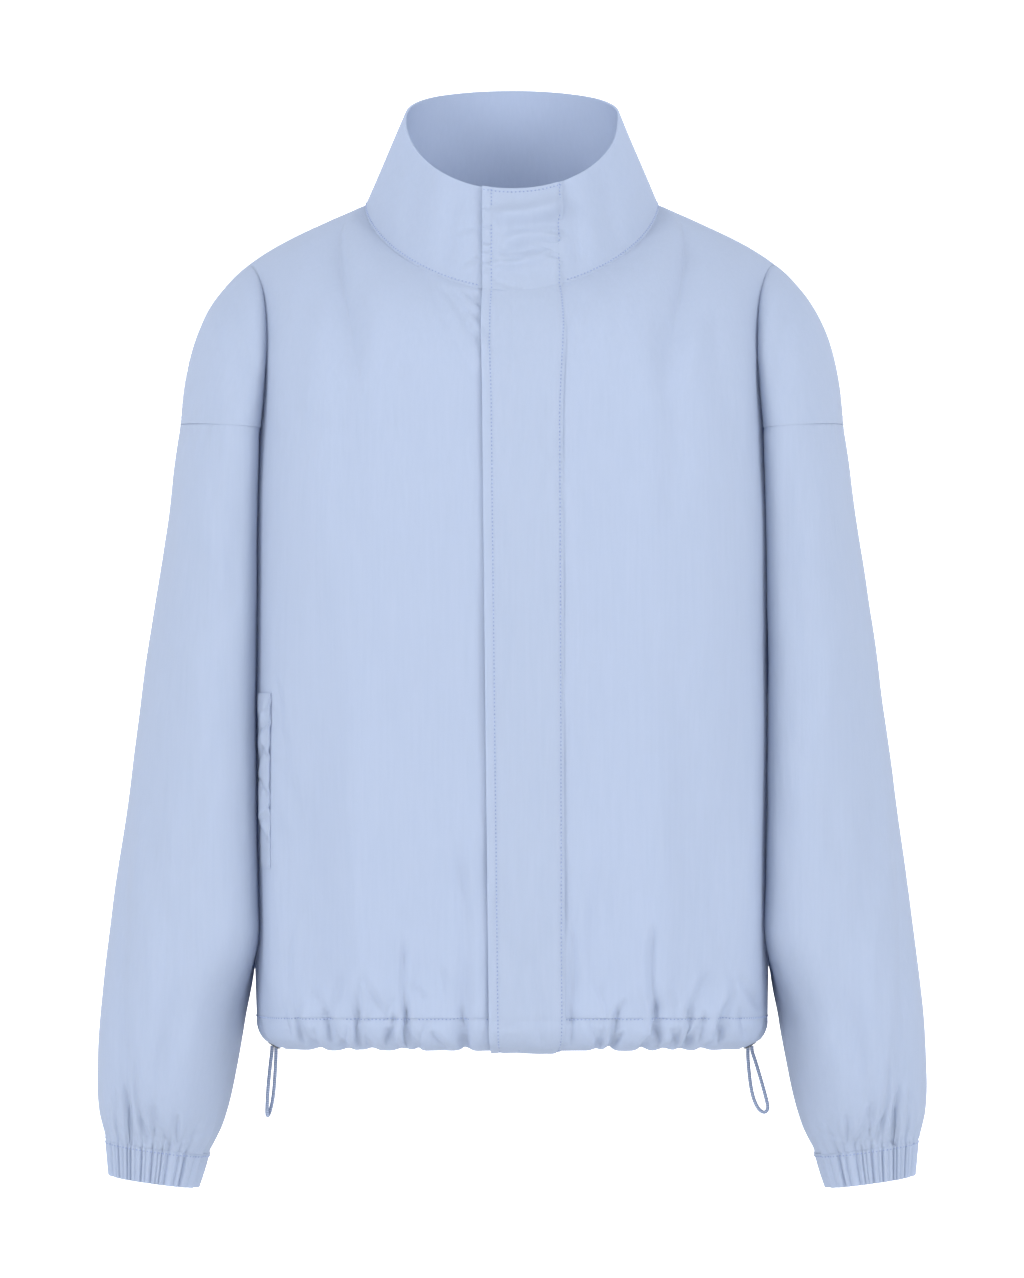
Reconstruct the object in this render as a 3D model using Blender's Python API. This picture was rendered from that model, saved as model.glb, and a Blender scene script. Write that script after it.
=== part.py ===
"""Windbreaker filled out with no wearer, built as hollow cloth walls.

Metres, +Z up. The front faces -Y and the wearer's left is +X. The origin is on the
midline at the height of the shoulder points beside the neck.
"""

import math
from collections import namedtuple

import bpy
from mathutils import Matrix, Vector

# Cloth
CLOTH_WALL = 0.0012
COLLAR_WALL = 0.0020
PLACKET_WALL = 0.0016
CASING_WALL = 0.0018
CUFF_WALL = 0.0020
WELT_WALL = 0.0016
SEAM_GAP = 0.0003
LAID_GAP = 0.0004
WELD = 0.00002

# Torso, from the hem seam up
TorsoRing = namedtuple("TorsoRing", "height half_width front_depth back_depth")
TORSO = (
    TorsoRing(-0.568, 0.1780, 0.122, 0.116),
    TorsoRing(-0.500, 0.1795, 0.127, 0.117),
    TorsoRing(-0.400, 0.1805, 0.131, 0.118),
    TorsoRing(-0.300, 0.1810, 0.134, 0.119),
    TorsoRing(-0.215, 0.1805, 0.132, 0.121),
    TorsoRing(-0.158, 0.1790, 0.127, 0.120),
)
TORSO_SQUARENESS = 3.4
TORSO_MIDDLE_Y = 0.002
HEM_Z = -0.568
HEM_FRONT_RISE = 0.006
CHEST_Z = -0.158
UNDERARM_DIP = 0.034

# Neck seam, shoulder ridge and drop-shoulder cap
NECK_HALF_WIDTH = 0.103
NECK_MIDDLE_Y = 0.005
NECK_FRONT_REACH = 0.101
NECK_BACK_REACH = 0.070
NECK_FRONT_Z = -0.066
NECK_BACK_Z = 0.002
NECK_ROUNDNESS = 1.75
NECK_FAN = 0.6
RIDGE = ((0.103, 0.0), (0.172, -0.031), (0.227, -0.045), (0.2320, -0.154))
RIDGE_OUTER_Y = 0.0
CREASE_AT_RIDGE = 0.45
CREASE_FRONT_Y = 0.062
CREASE_BACK_Y = 0.058
CREASE_LEAVES = (-0.0065, 0.007, 0.048)
CREASE_ARRIVES = (-0.0163, 0.0464, -0.0081)
CAP_FULLNESS = 1.22
CAP_ROUNDNESS = 0.65
ARC_SPLAY = 0.05

# Yoke between the chest line and the neck seam, at the midline and then beside the neck
YOKE_SLOPE = (math.radians(58.0), math.radians(14.0))
YOKE_REACH = (0.030, 0.046)
YOKE_RISE = (0.032, 0.072)

# Sleeves, from the cuff seam up
SleeveRing = namedtuple("SleeveRing", "height inner_x outer_x half_depth middle_y")
SLEEVE = (
    SleeveRing(-0.6575, 0.2104, 0.2843, 0.036, -0.010),
    SleeveRing(-0.6380, 0.2010, 0.2885, 0.049, -0.010),
    SleeveRing(-0.6100, 0.1935, 0.2893, 0.058, -0.011),
    SleeveRing(-0.5600, 0.1850, 0.2868, 0.065, -0.012),
    SleeveRing(-0.4900, 0.1800, 0.2784, 0.069, -0.010),
    SleeveRing(-0.4000, 0.1790, 0.2667, 0.070, -0.006),
    SleeveRing(-0.3000, 0.1785, 0.2530, 0.070, -0.003),
    SleeveRing(-0.2150, 0.1780, 0.2405, 0.068, -0.001),
    SleeveRing(-0.1540, 0.1780, 0.2320, 0.066, 0.000),
)
CUFF = (
    SleeveRing(-0.6820, 0.2177, 0.2821, 0.030, -0.010),
    SleeveRing(-0.6700, 0.2138, 0.2832, 0.033, -0.010),
    SleeveRing(-0.6575, 0.2104, 0.2843, 0.036, -0.010),
)
SLEEVE_INNER_ANGLE = math.radians(150.0)
SLEEVE_ROUNDNESS = 0.86
SLEEVE_OFF_ARMHOLE = 0.0015
SLEEVE_OFF_POCKET = 0.0034
SLEEVE_OFF_FROM = (-0.200, -0.300)
ARMHOLE_GAP = 0.0004
SLEEVE_LEAVES_TORSO = (-0.570, -0.500)
CUFF_SLOPE = 0.14
CUFF_SLOPE_FROM = -0.590
CUFF_GATHERS = 32
CUFF_GATHER_DEPTH = 0.0013

# Folds rising from each cuff; the turn counts front, back and inner arcs
FOLD_AT_SEAM = 0.3
FOLD_DEEPENS_OVER = 0.006
SleeveFold = namedtuple("SleeveFold", "turn width depth reach")
SLEEVE_FOLDS = (
    SleeveFold(0.25, 0.09, -0.0035, 0.050),
    SleeveFold(0.48, 0.08, -0.0045, 0.085),
    SleeveFold(0.68, 0.07, -0.0040, 0.060),
    SleeveFold(0.88, 0.07, -0.0045, 0.110),
    SleeveFold(1.12, 0.07, -0.0035, 0.055),
    SleeveFold(1.35, 0.08, -0.0045, 0.090),
    SleeveFold(1.60, 0.08, -0.0040, 0.065),
    SleeveFold(1.84, 0.08, -0.0040, 0.045),
    SleeveFold(2.50, 0.20, -0.0035, 0.060),
)

# Broad drapes of the body, placed by degrees from the centre front or back
DRAPE_FULL_FROM = 0.5
DRAPE_FADES_AT_HEM = 0.06
Drape = namedtuple("Drape", "angle width depth low high")
FRONT_DRAPES = (
    Drape(9.3, 4.0, -0.0028, -0.568, -0.440),
    Drape(22.0, 5.9, 0.0030, -0.568, -0.300),
    Drape(40.1, 6.8, -0.0030, -0.568, -0.360),
    Drape(58.7, 8.3, 0.0026, -0.568, -0.250),
)
BACK_DRAPES = (
    Drape(5.6, 4.0, 0.0030, -0.568, -0.260),
    Drape(21.0, 5.9, -0.0032, -0.568, -0.380),
    Drape(41.3, 7.9, 0.0030, -0.568, -0.230),
    Drape(61.0, 7.2, -0.0028, -0.568, -0.330),
)

# Collar
COLLAR_TOP_HALF_WIDTH = 0.0755
COLLAR_TOP_MIDDLE_Y = 0.004
COLLAR_TOP_FRONT_REACH = 0.073
COLLAR_TOP_BACK_REACH = 0.055
COLLAR_TOP_SIDE_Z = 0.0625
COLLAR_TOP_FRONT_DROP = 0.0565
COLLAR_TOP_BACK_RISE = 0.0225
COLLAR_TOP_BACK_FLATNESS = 0.8

# Placket, its edges either side of the centre front
PLACKET_RIGHT_NECK_X = 0.0212
PLACKET_RIGHT_HEM_X = 0.0158
PLACKET_LEFT_NECK_X = 0.0345
PLACKET_LEFT_HEM_X = 0.0362

# Hem casing
HemMark = namedtuple("HemMark", "angle along")
CasingRow = namedtuple("CasingRow", "drop inset")
CASING = (
    CasingRow(0.0000, 0.0000),
    CasingRow(0.0090, 0.0004),
    CasingRow(0.0175, 0.0050),
    CasingRow(0.0235, 0.0155),
)
GATHER_LIFT = 0.6
Gather = namedtuple("Gather", "along width depth")
GATHERS_FRONT_RIGHT = (
    Gather(0.0337, 0.0050, 0.0036),
    Gather(0.0721, 0.0042, 0.0042),
    Gather(0.0838, 0.0042, 0.0034),
    Gather(0.1066, 0.0055, 0.0042),
    Gather(0.1247, 0.0048, 0.0036),
    Gather(0.1490, 0.0060, 0.0044),
    Gather(0.2050, 0.0070, 0.0034),
)
GATHERS_FRONT_LEFT = (
    Gather(0.0630, 0.0040, 0.0036),
    Gather(0.0724, 0.0040, 0.0040),
    Gather(0.0982, 0.0050, 0.0042),
    Gather(0.1160, 0.0048, 0.0038),
    Gather(0.1280, 0.0044, 0.0040),
    Gather(0.1470, 0.0050, 0.0038),
    Gather(0.2080, 0.0070, 0.0034),
)
GATHERS_BACK = (
    Gather(0.0140, 0.0050, 0.0036),
    Gather(0.0390, 0.0044, 0.0042),
    Gather(0.0620, 0.0058, 0.0034),
    Gather(0.0900, 0.0046, 0.0042),
    Gather(0.1080, 0.0050, 0.0036),
    Gather(0.1400, 0.0060, 0.0040),
    Gather(0.1980, 0.0070, 0.0036),
)

# Pocket welts; the wearer's left one lies further round
WELT_TOP_Z = -0.341
WELT_LENGTH = 0.120
WELT_RIGHT_ANGLES = (57.5, 69.5)
WELT_LEFT_ANGLES = (73.0, 83.0)

# Drawcord loops and eyelets
CORD_RADIUS = 0.0012
EYELET_RING_RADIUS = 0.0042
EYELET_WIRE_RADIUS = 0.0008
EYELET_X = 0.1664
EYELET_Y = -0.004
EYELET_Z = -0.5877
EYELET_LEAN = math.radians(29.7)
EYELET_SEGMENTS = (20, 8)
CordPoint = namedtuple("CordPoint", "out forward down")
CORD_LEFT = (
    CordPoint(-0.0014, 0.0000, 0.0005),
    CordPoint(-0.0014, 0.0006, 0.0090),
    CordPoint(-0.0005, 0.0010, 0.0200),
    CordPoint(0.0008, 0.0014, 0.0300),
    CordPoint(0.0028, 0.0016, 0.0380),
    CordPoint(0.0060, 0.0018, 0.0445),
    CordPoint(0.0100, 0.0018, 0.0470),
    CordPoint(0.0124, 0.0018, 0.0440),
    CordPoint(0.0112, 0.0016, 0.0370),
    CordPoint(0.0076, 0.0012, 0.0240),
    CordPoint(0.0040, 0.0008, 0.0120),
    CordPoint(0.0016, 0.0002, 0.0045),
    CordPoint(0.0014, 0.0000, 0.0005),
)
CORD_RIGHT = (
    CordPoint(-0.0014, 0.0000, 0.0005),
    CordPoint(-0.0012, -0.0002, 0.0100),
    CordPoint(-0.0005, -0.0016, 0.0220),
    CordPoint(0.0004, -0.0034, 0.0330),
    CordPoint(0.0018, -0.0044, 0.0420),
    CordPoint(0.0034, -0.0030, 0.0478),
    CordPoint(0.0044, 0.0006, 0.0494),
    CordPoint(0.0048, 0.0038, 0.0470),
    CordPoint(0.0046, 0.0048, 0.0400),
    CordPoint(0.0040, 0.0038, 0.0290),
    CordPoint(0.0028, 0.0018, 0.0160),
    CordPoint(0.0016, 0.0002, 0.0050),
    CordPoint(0.0014, 0.0000, 0.0005),
)
CORD_STEPS = 3
CORD_BEVEL_RESOLUTION = 2

# Mesh fineness
PLACKET_CELLS = 2
CHEST_CELLS = 6
SHOULDER_CELLS = 5
UNDERARM_CELLS = 3
CAP_CELLS = 6
BODY_ROWS = 11
YOKE_ROWS = 8
SLEEVE_ARC_CELLS = 12
SLEEVE_INNER_CELLS = 5
SLEEVE_ROWS = 14
SLEEVE_ROWS_CROWD_LOW = 1.35
COLLAR_ROWS = 5
CASING_LONGEST_CELL = 0.014
CASING_SHORTEST_CELL = 0.0016
GATHER_FOOT = 1.4
RULER_STEPS = 360
CUFF_CELLS_PER_GATHER = 4
WELT_CELLS = (3, 6)
NECK_SIDE_SNAP = 0.99999
SHARPEST_MITRE = 0.3

Finish = namedtuple("Finish", "colour roughness metallic")
NYLON = Finish((0.51, 0.60, 0.79, 1.0), 0.7, 0.0)
ELASTIC = Finish((0.33, 0.38, 0.50, 1.0), 0.8, 0.0)
GUNMETAL = Finish((0.10, 0.10, 0.11, 1.0), 0.35, 1.0)


# Small tools
def mix(low, high, share):
    return low + (high - low) * share


def ease(share):
    share = min(max(share, 0.0), 1.0)
    return share * share * (3.0 - 2.0 * share)


def power(value, exponent):
    return math.copysign(abs(value) ** exponent, value)


def bump(distance, width):
    return math.exp(-((distance / width) ** 2))


def bezier(points, share):
    a, b, c, d = points
    rest = 1.0 - share
    return a * rest**3 + b * (3 * rest**2 * share) + c * (3 * rest * share**2) + d * share**3


def between(rows, place):
    """Read a table smoothly at a place on its first column."""
    index = 0
    while index < len(rows) - 2 and place > rows[index + 1][0]:
        index += 1
    low = rows[index]
    high = rows[index + 1]
    before = rows[max(index - 1, 0)]
    after = rows[min(index + 2, len(rows) - 1)]
    span = high[0] - low[0]
    share = min(max((place - low[0]) / span, 0.0), 1.0)
    values = [place]
    for column in range(1, len(low)):
        slope_low = (high[column] - before[column]) / (high[0] - before[0]) * span
        slope_high = (after[column] - low[column]) / (after[0] - low[0]) * span
        bend_low = low[column] + slope_low / 3.0
        bend_high = high[column] - slope_high / 3.0
        values.append(bezier((low[column], bend_low, bend_high, high[column]), share))
    return type(low)(*values)


def spread(stops, counts):
    """Return places that divide each span between stops into its count of cells."""
    places = [stops[0]]
    for low, high, count in zip(stops, stops[1:], counts):
        for step in range(1, count + 1):
            places.append(mix(low, high, step / count))
    return places


# Forms of the garment; face is 1 for the front and -1 for the back
def torso_depth(ring, face):
    return ring.front_depth if face > 0 else ring.back_depth


def torso_point(height, angle, face, inset=0.0):
    ring = between(TORSO, height)
    shape = 2.0 / TORSO_SQUARENESS
    x = (ring.half_width - inset) * power(math.sin(angle), shape)
    y = TORSO_MIDDLE_Y - face * (torso_depth(ring, face) - inset) * power(math.cos(angle), shape)
    return Vector((x, y, height))


def angle_at_x(height, x):
    ring = between(TORSO, height)
    return math.asin((x / ring.half_width) ** (TORSO_SQUARENESS / 2.0))


def crease_angle(height, face):
    ring = between(TORSO, height)
    reach = CREASE_FRONT_Y if face > 0 else CREASE_BACK_Y
    return math.acos((reach / torso_depth(ring, face)) ** (TORSO_SQUARENESS / 2.0))


def hem_z(angle, face):
    return HEM_Z + HEM_FRONT_RISE * (1.0 + face * math.cos(angle)) / 2.0


def placket_x(side, height):
    share = (height - HEM_Z) / (NECK_FRONT_Z - HEM_Z)
    if side > 0:
        return mix(PLACKET_LEFT_HEM_X, PLACKET_LEFT_NECK_X, share)
    return mix(PLACKET_RIGHT_HEM_X, PLACKET_RIGHT_NECK_X, share)


def neck_turn(side, column, half_width):
    """Return the turn round the neck or collar, from the midline, at a column up to 2."""
    edge = placket_x(side, CHEST_Z)
    if column <= 1.0:
        return math.asin(edge * column / half_width)
    return mix(math.asin(edge / half_width), math.pi / 2.0, column - 1.0)


def column_angle(side, face, column, height):
    """Turn a column place into an angle: 0 midline, 1 placket edge, 2 neck, 3 crease, 4 side."""
    edge = angle_at_x(height, placket_x(side, height))
    neck = angle_at_x(CHEST_Z, NECK_HALF_WIDTH)
    crease = crease_angle(height, face)
    if column <= 1.0:
        return angle_at_x(height, placket_x(side, height) * column)
    if column <= 2.0:
        return mix(edge, neck, column - 1.0)
    if column <= 3.0:
        return mix(neck, crease, column - 2.0)
    return mix(crease, math.pi / 2.0, column - 3.0)


def drape_offset(drapes, angle, height):
    offset = 0.0
    for drape in drapes:
        fade = ease((drape.high - height) / (drape.high - drape.low) / DRAPE_FULL_FROM)
        offset += drape.depth * fade * bump(math.degrees(angle) - drape.angle, drape.width)
    return offset


def body_point(side, face, column, share):
    """Return a point below the chest line; share runs from the hem seam up."""
    height = mix(HEM_Z, CHEST_Z, share)
    angle = column_angle(side, face, column, height)
    top = CHEST_Z - UNDERARM_DIP * ease(column - 3.0)
    height = mix(hem_z(angle, face), top, share)
    angle = column_angle(side, face, column, height)
    drapes = FRONT_DRAPES if face > 0 else BACK_DRAPES
    fade = ease(share / DRAPE_FADES_AT_HEM)
    return torso_point(height, angle, face, -fade * drape_offset(drapes, angle, height))


def neck_point(x, face):
    part = x / NECK_HALF_WIDTH
    if part > NECK_SIDE_SNAP:
        return Vector((NECK_HALF_WIDTH, NECK_MIDDLE_Y, 0.0))
    across = math.sqrt(1.0 - part * part)
    if face > 0:
        level = (1.0 - part**NECK_ROUNDNESS) ** (1.0 / NECK_ROUNDNESS)
        return Vector((x, NECK_MIDDLE_Y - NECK_FRONT_REACH * across, NECK_FRONT_Z * level))
    return Vector((x, NECK_MIDDLE_Y + NECK_BACK_REACH * across, NECK_BACK_Z * across))


def ridge_point(share):
    x = bezier([point[0] for point in RIDGE], share)
    z = bezier([point[1] for point in RIDGE], share)
    return Vector((x, mix(NECK_MIDDLE_Y, RIDGE_OUTER_Y, share), z))


def yoke_point(side, face, column, share):
    """Return a point above the chest line, between the midline and the armpit crease."""
    start = torso_point(CHEST_Z, column_angle(side, face, column, CHEST_Z), face)
    if column <= 2.0:
        turn = neck_turn(side, column, NECK_HALF_WIDTH)
        end = neck_point(NECK_HALF_WIDTH * math.sin(turn), face)
    else:
        turn = math.pi / 2.0 * (3.0 - column)
        end = ridge_point(CREASE_AT_RIDGE * (column - 2.0))
    part = math.sin(turn) if column <= 2.0 else 1.0
    slope = mix(*YOKE_SLOPE, part)
    reach = mix(*YOKE_REACH, part)
    leaves = Vector((0.0, 0.0, mix(*YOKE_RISE, part)))
    level = reach * math.cos(slope)
    aside = turn * NECK_FAN
    arrives = Vector((level * math.sin(aside), -face * level * math.cos(aside), -reach * math.sin(slope)))
    if column > 2.0:
        crease = (column - 2.0) ** 2
        x, y, z = CREASE_LEAVES
        leaves = leaves.lerp(Vector((x, -face * y, z)), crease)
        x, y, z = CREASE_ARRIVES
        arrives = arrives.lerp(Vector((x, -face * y, z)), crease)
    return bezier((start, start + leaves, end + arrives, end), share)


def arc_point(crease, outer, face, pushes, place):
    """Return a point on the arc that bulges from an armpit crease to the outer arm."""
    push_in, push_out = pushes
    bend_in = crease + Vector((ARC_SPLAY * push_in, -face * push_in, 0.0))
    bend_out = outer + Vector((0.0, -face * push_out, 0.0))
    return bezier((crease, bend_in, bend_out, outer), place)


def cap_point(side, face, place, share):
    """Return a point on the drop-shoulder cap outside the crease."""
    crease = yoke_point(side, face, 3.0, share)
    outer = ridge_point(mix(1.0, CREASE_AT_RIDGE, share))
    full = CAP_FULLNESS * SLEEVE[-1].half_depth
    pushes = ((full - CREASE_FRONT_Y) * (1.0 - share), full * (1.0 - share) ** CAP_ROUNDNESS)
    return arc_point(crease, outer, face, pushes, place)


def sleeve_section(ring, turn):
    """Return a ring's free oval at a turn: 0-1 front, 1-2 back, 2-3 inner arc."""
    inner = SLEEVE_INNER_ANGLE
    if turn <= 1.0:
        angle = mix(inner, 0.0, turn)
    elif turn <= 2.0:
        angle = mix(0.0, -inner, turn - 1.0)
    else:
        angle = mix(-inner, inner - 2.0 * math.pi, turn - 2.0)
    middle = (ring.inner_x + ring.outer_x) / 2.0
    half_width = (ring.outer_x - ring.inner_x) / 2.0
    x = middle + half_width * power(math.cos(angle), SLEEVE_ROUNDNESS)
    y = ring.middle_y - ring.half_depth * power(math.sin(angle), SLEEVE_ROUNDNESS)
    return Vector((x, y, ring.height))


def beside_torso(ring, turn, height):
    """Return a ring's point where the sleeve hangs against the torso."""
    outer = Vector((ring.outer_x, ring.middle_y, height))
    high, low = SLEEVE_OFF_FROM
    clear = ease((height - high) / (low - high))
    off = Vector((mix(SLEEVE_OFF_ARMHOLE, SLEEVE_OFF_POCKET, clear), 0.0, 0.0))
    full = CAP_FULLNESS * ring.half_depth
    pushes = (full - CREASE_FRONT_Y, full)
    front_angle = crease_angle(height, 1)
    back_angle = crease_angle(height, -1)
    if turn <= 1.0:
        crease = torso_point(height, front_angle, 1) + off
        return arc_point(crease, outer, 1, pushes, turn)
    if turn <= 2.0:
        crease = torso_point(height, back_angle, -1) + off
        return arc_point(crease, outer, -1, pushes, 2.0 - turn)
    place = (turn - 2.0) * 2.0
    if place <= 1.0:
        return torso_point(height, mix(back_angle, math.pi / 2.0, place), -1) + off
    return torso_point(height, mix(math.pi / 2.0, front_angle, place - 1.0), 1) + off


def armhole_z(turn):
    outer = RIDGE[-1][1] - ARMHOLE_GAP
    crease = CHEST_Z - ARMHOLE_GAP
    if turn <= 1.0:
        return mix(crease, outer, turn)
    if turn <= 2.0:
        return mix(outer, crease, turn - 1.0)
    return crease - UNDERARM_DIP * ease(1.0 - abs(turn - 2.5) * 2.0)


def sleeve_fold_offset(turn, height):
    offset = 0.0
    for fold in SLEEVE_FOLDS:
        rise = height - SLEEVE[0].height
        fade = ease(1.0 - rise / fold.reach) * ease(rise / FOLD_DEEPENS_OVER + FOLD_AT_SEAM)
        offset += fold.depth * fade * bump(turn - fold.turn, fold.width)
    return offset


def sleeve_point(turn, share):
    """Return a point on the wearer's left sleeve; share runs from the cuff seam up."""
    height = mix(SLEEVE[0].height, armhole_z(turn), share)
    ring = between(SLEEVE, height)
    low, high = SLEEVE_LEAVES_TORSO
    free = sleeve_section(ring, turn)
    held = beside_torso(ring, turn, max(height, HEM_Z))
    point = free.lerp(held, ease((height - low) / (high - low)))
    middle = Vector(((ring.inner_x + ring.outer_x) / 2.0, ring.middle_y, 0.0))
    outward = Vector((point.x, point.y, 0.0)) - middle
    outward.normalize()
    point += outward * sleeve_fold_offset(turn, height)
    point.z = height + cuff_slope_offset(ring, point.x)
    return point


def cuff_slope_offset(ring, x):
    share = ease((CUFF_SLOPE_FROM - ring.height) / (CUFF_SLOPE_FROM - SLEEVE[0].height))
    return CUFF_SLOPE * share * (x - (ring.inner_x + ring.outer_x) / 2.0)


def cuff_point(turn, height, gathered):
    ring = between(CUFF, height)
    middle = Vector(((ring.inner_x + ring.outer_x) / 2.0, ring.middle_y, 0.0))
    point = sleeve_section(ring, turn)
    outward = Vector((point.x, point.y, 0.0)) - middle
    outward.normalize()
    if gathered:
        wave = math.cos(turn / 3.0 * CUFF_GATHERS * 2.0 * math.pi)
        point += outward * CUFF_GATHER_DEPTH * (wave - 1.0) / 2.0
    else:
        point -= outward * CUFF_WALL
    point.z = height + cuff_slope_offset(ring, point.x)
    return point


def collar_point(side, face, column, share):
    """Return a collar point over a panel's neck column: 0 midline, 1 placket edge, 2 side."""
    half_width = mix(NECK_HALF_WIDTH, COLLAR_TOP_HALF_WIDTH, share)
    turn = neck_turn(side, column, half_width)
    across = math.cos(turn)
    base = neck_point(NECK_HALF_WIDTH * math.sin(turn), face)
    if face > 0:
        top_y = COLLAR_TOP_MIDDLE_Y - COLLAR_TOP_FRONT_REACH * across
        top_z = COLLAR_TOP_SIDE_Z - COLLAR_TOP_FRONT_DROP * across
    else:
        top_y = COLLAR_TOP_MIDDLE_Y + COLLAR_TOP_BACK_REACH * across
        top_z = COLLAR_TOP_SIDE_Z + COLLAR_TOP_BACK_RISE * across**COLLAR_TOP_BACK_FLATNESS
    top = Vector((COLLAR_TOP_HALF_WIDTH * math.sin(turn), top_y, top_z))
    return base.lerp(top, share)


def hem_ruler(face):
    """Return angles round half the hem with their distances along it from the midline."""
    ruler = [HemMark(0.0, 0.0)]
    for step in range(1, RULER_STEPS + 1):
        before = ruler[-1]
        angle = math.pi / 2.0 * step / RULER_STEPS
        run = torso_point(HEM_Z, angle, face) - torso_point(HEM_Z, before.angle, face)
        ruler.append(HemMark(angle, before.along + run.length))
    return ruler


def hem_angle(ruler, along):
    for before, after in zip(ruler, ruler[1:]):
        if along <= after.along:
            return mix(before.angle, after.angle, (along - before.along) / (after.along - before.along))
    return ruler[-1].angle


def hem_along(ruler, angle):
    for before, after in zip(ruler, ruler[1:]):
        if angle <= after.angle:
            return mix(before.along, after.along, (angle - before.angle) / (after.angle - before.angle))
    return ruler[-1].along


def gather_offset(gathers, along):
    offset = 0.0
    for gather in gathers:
        offset += gather.depth * bump(along - gather.along, gather.width)
    return offset


def casing_point(face, angle, along, row, gathers):
    step = CASING[row]
    share = row / (len(CASING) - 1.0)
    offset = share * gather_offset(gathers, along)
    point = torso_point(HEM_Z, angle, face, step.inset + offset)
    point.z = hem_z(angle, face) - step.drop + GATHER_LIFT * offset
    return point


# Grids of points become walls
def mirrored(grid):
    return [[Vector((-p.x, p.y, p.z)) for p in reversed(row)] for row in grid]


def point_key(point):
    return tuple(round(value / WELD) for value in point)


def welded(grids, closed=False):
    """Join grids of points into one list of points and one list of faces."""
    points = []
    places = {}
    faces = []

    def place_of(point):
        key = point_key(point)
        if key not in places:
            places[key] = len(points)
            points.append(point)
        return places[key]

    for grid in grids:
        for lower, upper in zip(grid, grid[1:]):
            last = len(lower) if closed else len(lower) - 1
            for index in range(last):
                following = (index + 1) % len(lower)
                corners = (lower[index], lower[following], upper[following], upper[index])
                face = []
                for corner in corners:
                    place = place_of(corner)
                    if place not in face:
                        face.append(place)
                if len(face) > 2:
                    faces.append(tuple(face))
    return points, faces


def face_normal(points, face):
    total = Vector()
    for here, there in zip(face, face[1:] + face[:1]):
        total += points[here].cross(points[there])
    return total.normalized()


def collect_normals(shells):
    """Add up the normals of every shell at each shared point, so that seams are mitred."""
    normals = {}
    for points, faces in shells:
        for face in faces:
            normal = face_normal(points, face)
            for index, corner in enumerate(face):
                before = (points[face[index - 1]] - points[corner]).normalized()
                after = (points[face[(index + 1) % len(face)]] - points[corner]).normalized()
                weight = math.acos(min(max(before.dot(after), -1.0), 1.0))
                key = point_key(points[corner])
                normals[key] = normals.get(key, Vector()) + normal * weight
    return {key: normal.normalized() for key, normal in normals.items()}


def border_edges(faces):
    edges = {}
    for index, face in enumerate(faces):
        for here, there in zip(face, face[1:] + face[:1]):
            edges[(here, there)] = index
    return {edge: face for edge, face in edges.items() if (edge[1], edge[0]) not in edges}


def border_shifts(points, faces, trim):
    """Return how far each border point draws back into its piece at a seam."""
    inward = {}
    for (here, there), face in border_edges(faces).items():
        along = (points[there] - points[here]).normalized()
        direction = face_normal(points, faces[face]).cross(along).normalized()
        inward.setdefault(here, []).append(direction)
        inward.setdefault(there, []).append(direction)
    shifts = {}
    for place, directions in inward.items():
        total = sum(directions[1:], directions[0].copy())
        spread_out = 1.0 + directions[0].dot(directions[-1])
        if len(directions) == 2 and spread_out > SHARPEST_MITRE:
            shifts[place] = total * trim / spread_out
        else:
            shifts[place] = total.normalized() * trim
    return shifts


def make_object(name, points, faces, material):
    mesh = bpy.data.meshes.new(name)
    mesh.from_pydata([tuple(point) for point in points], [], faces)
    mesh.update()
    item = bpy.data.objects.new(name, mesh)
    item.data.materials.append(material)
    bpy.context.collection.objects.link(item)
    return item


def make_wall(name, shell, normals, wall, material, inside=None, raised=0.0):
    """Thicken a shell inward into one closed body with drawn-back seam edges."""
    points, faces = shell
    shifts = border_shifts(points, faces, SEAM_GAP / 2.0)
    outer = []
    inner = []
    for index, point in enumerate(points):
        normal = normals[point_key(point)]
        shift = shifts.get(index, Vector())
        outer.append(point + normal * raised + shift)
        if inside:
            inner.append(inside[index] + shift)
        else:
            inner.append(point + normal * (raised - wall) + shift)
    count = len(points)
    skins = [tuple(face) for face in faces]
    skins += [tuple(count + place for place in reversed(face)) for face in faces]
    for here, there in border_edges(faces):
        skins.append((there, here, count + here, count + there))
    return make_object(name, outer + inner, skins, material)


# Pieces
def panel_grids(side, face):
    """Return the grids of one half panel on the +X side, rows from the hem up."""
    chest = (PLACKET_CELLS, CHEST_CELLS, SHOULDER_CELLS)
    body_columns = spread((0.0, 1.0, 2.0, 3.0, 4.0), chest + (UNDERARM_CELLS,))
    yoke_columns = spread((0.0, 1.0, 2.0, 3.0), chest)
    cap_places = spread((0.0, 1.0), (CAP_CELLS,))
    body_rows = spread((0.0, 1.0), (BODY_ROWS,))
    yoke_rows = spread((0.0, 1.0), (YOKE_ROWS,))
    return [
        [[body_point(side, face, column, share) for column in body_columns] for share in body_rows],
        [[yoke_point(side, face, column, share) for column in yoke_columns] for share in yoke_rows],
        [[cap_point(side, face, place, share) for place in cap_places] for share in yoke_rows],
    ]


def turned(grids):
    """Reverse the columns, which turns the faces over."""
    return [[list(reversed(row)) for row in grid] for grid in grids]


def casing_places(gathers, first, last):
    """Return distances along the hem, with one on each gather's crest and one at each foot."""
    wanted = [last]
    for gather in gathers:
        foot = GATHER_FOOT * gather.width
        wanted += [gather.along - foot, gather.along, gather.along + foot]
    places = [first]
    for place in sorted(wanted):
        gap = place - places[-1]
        if gap > CASING_SHORTEST_CELL:
            cells = math.ceil(gap / CASING_LONGEST_CELL)
            places += [mix(places[-1], place, cell / cells) for cell in range(1, cells)] + [place]
    places[-1] = last
    return places


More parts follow.
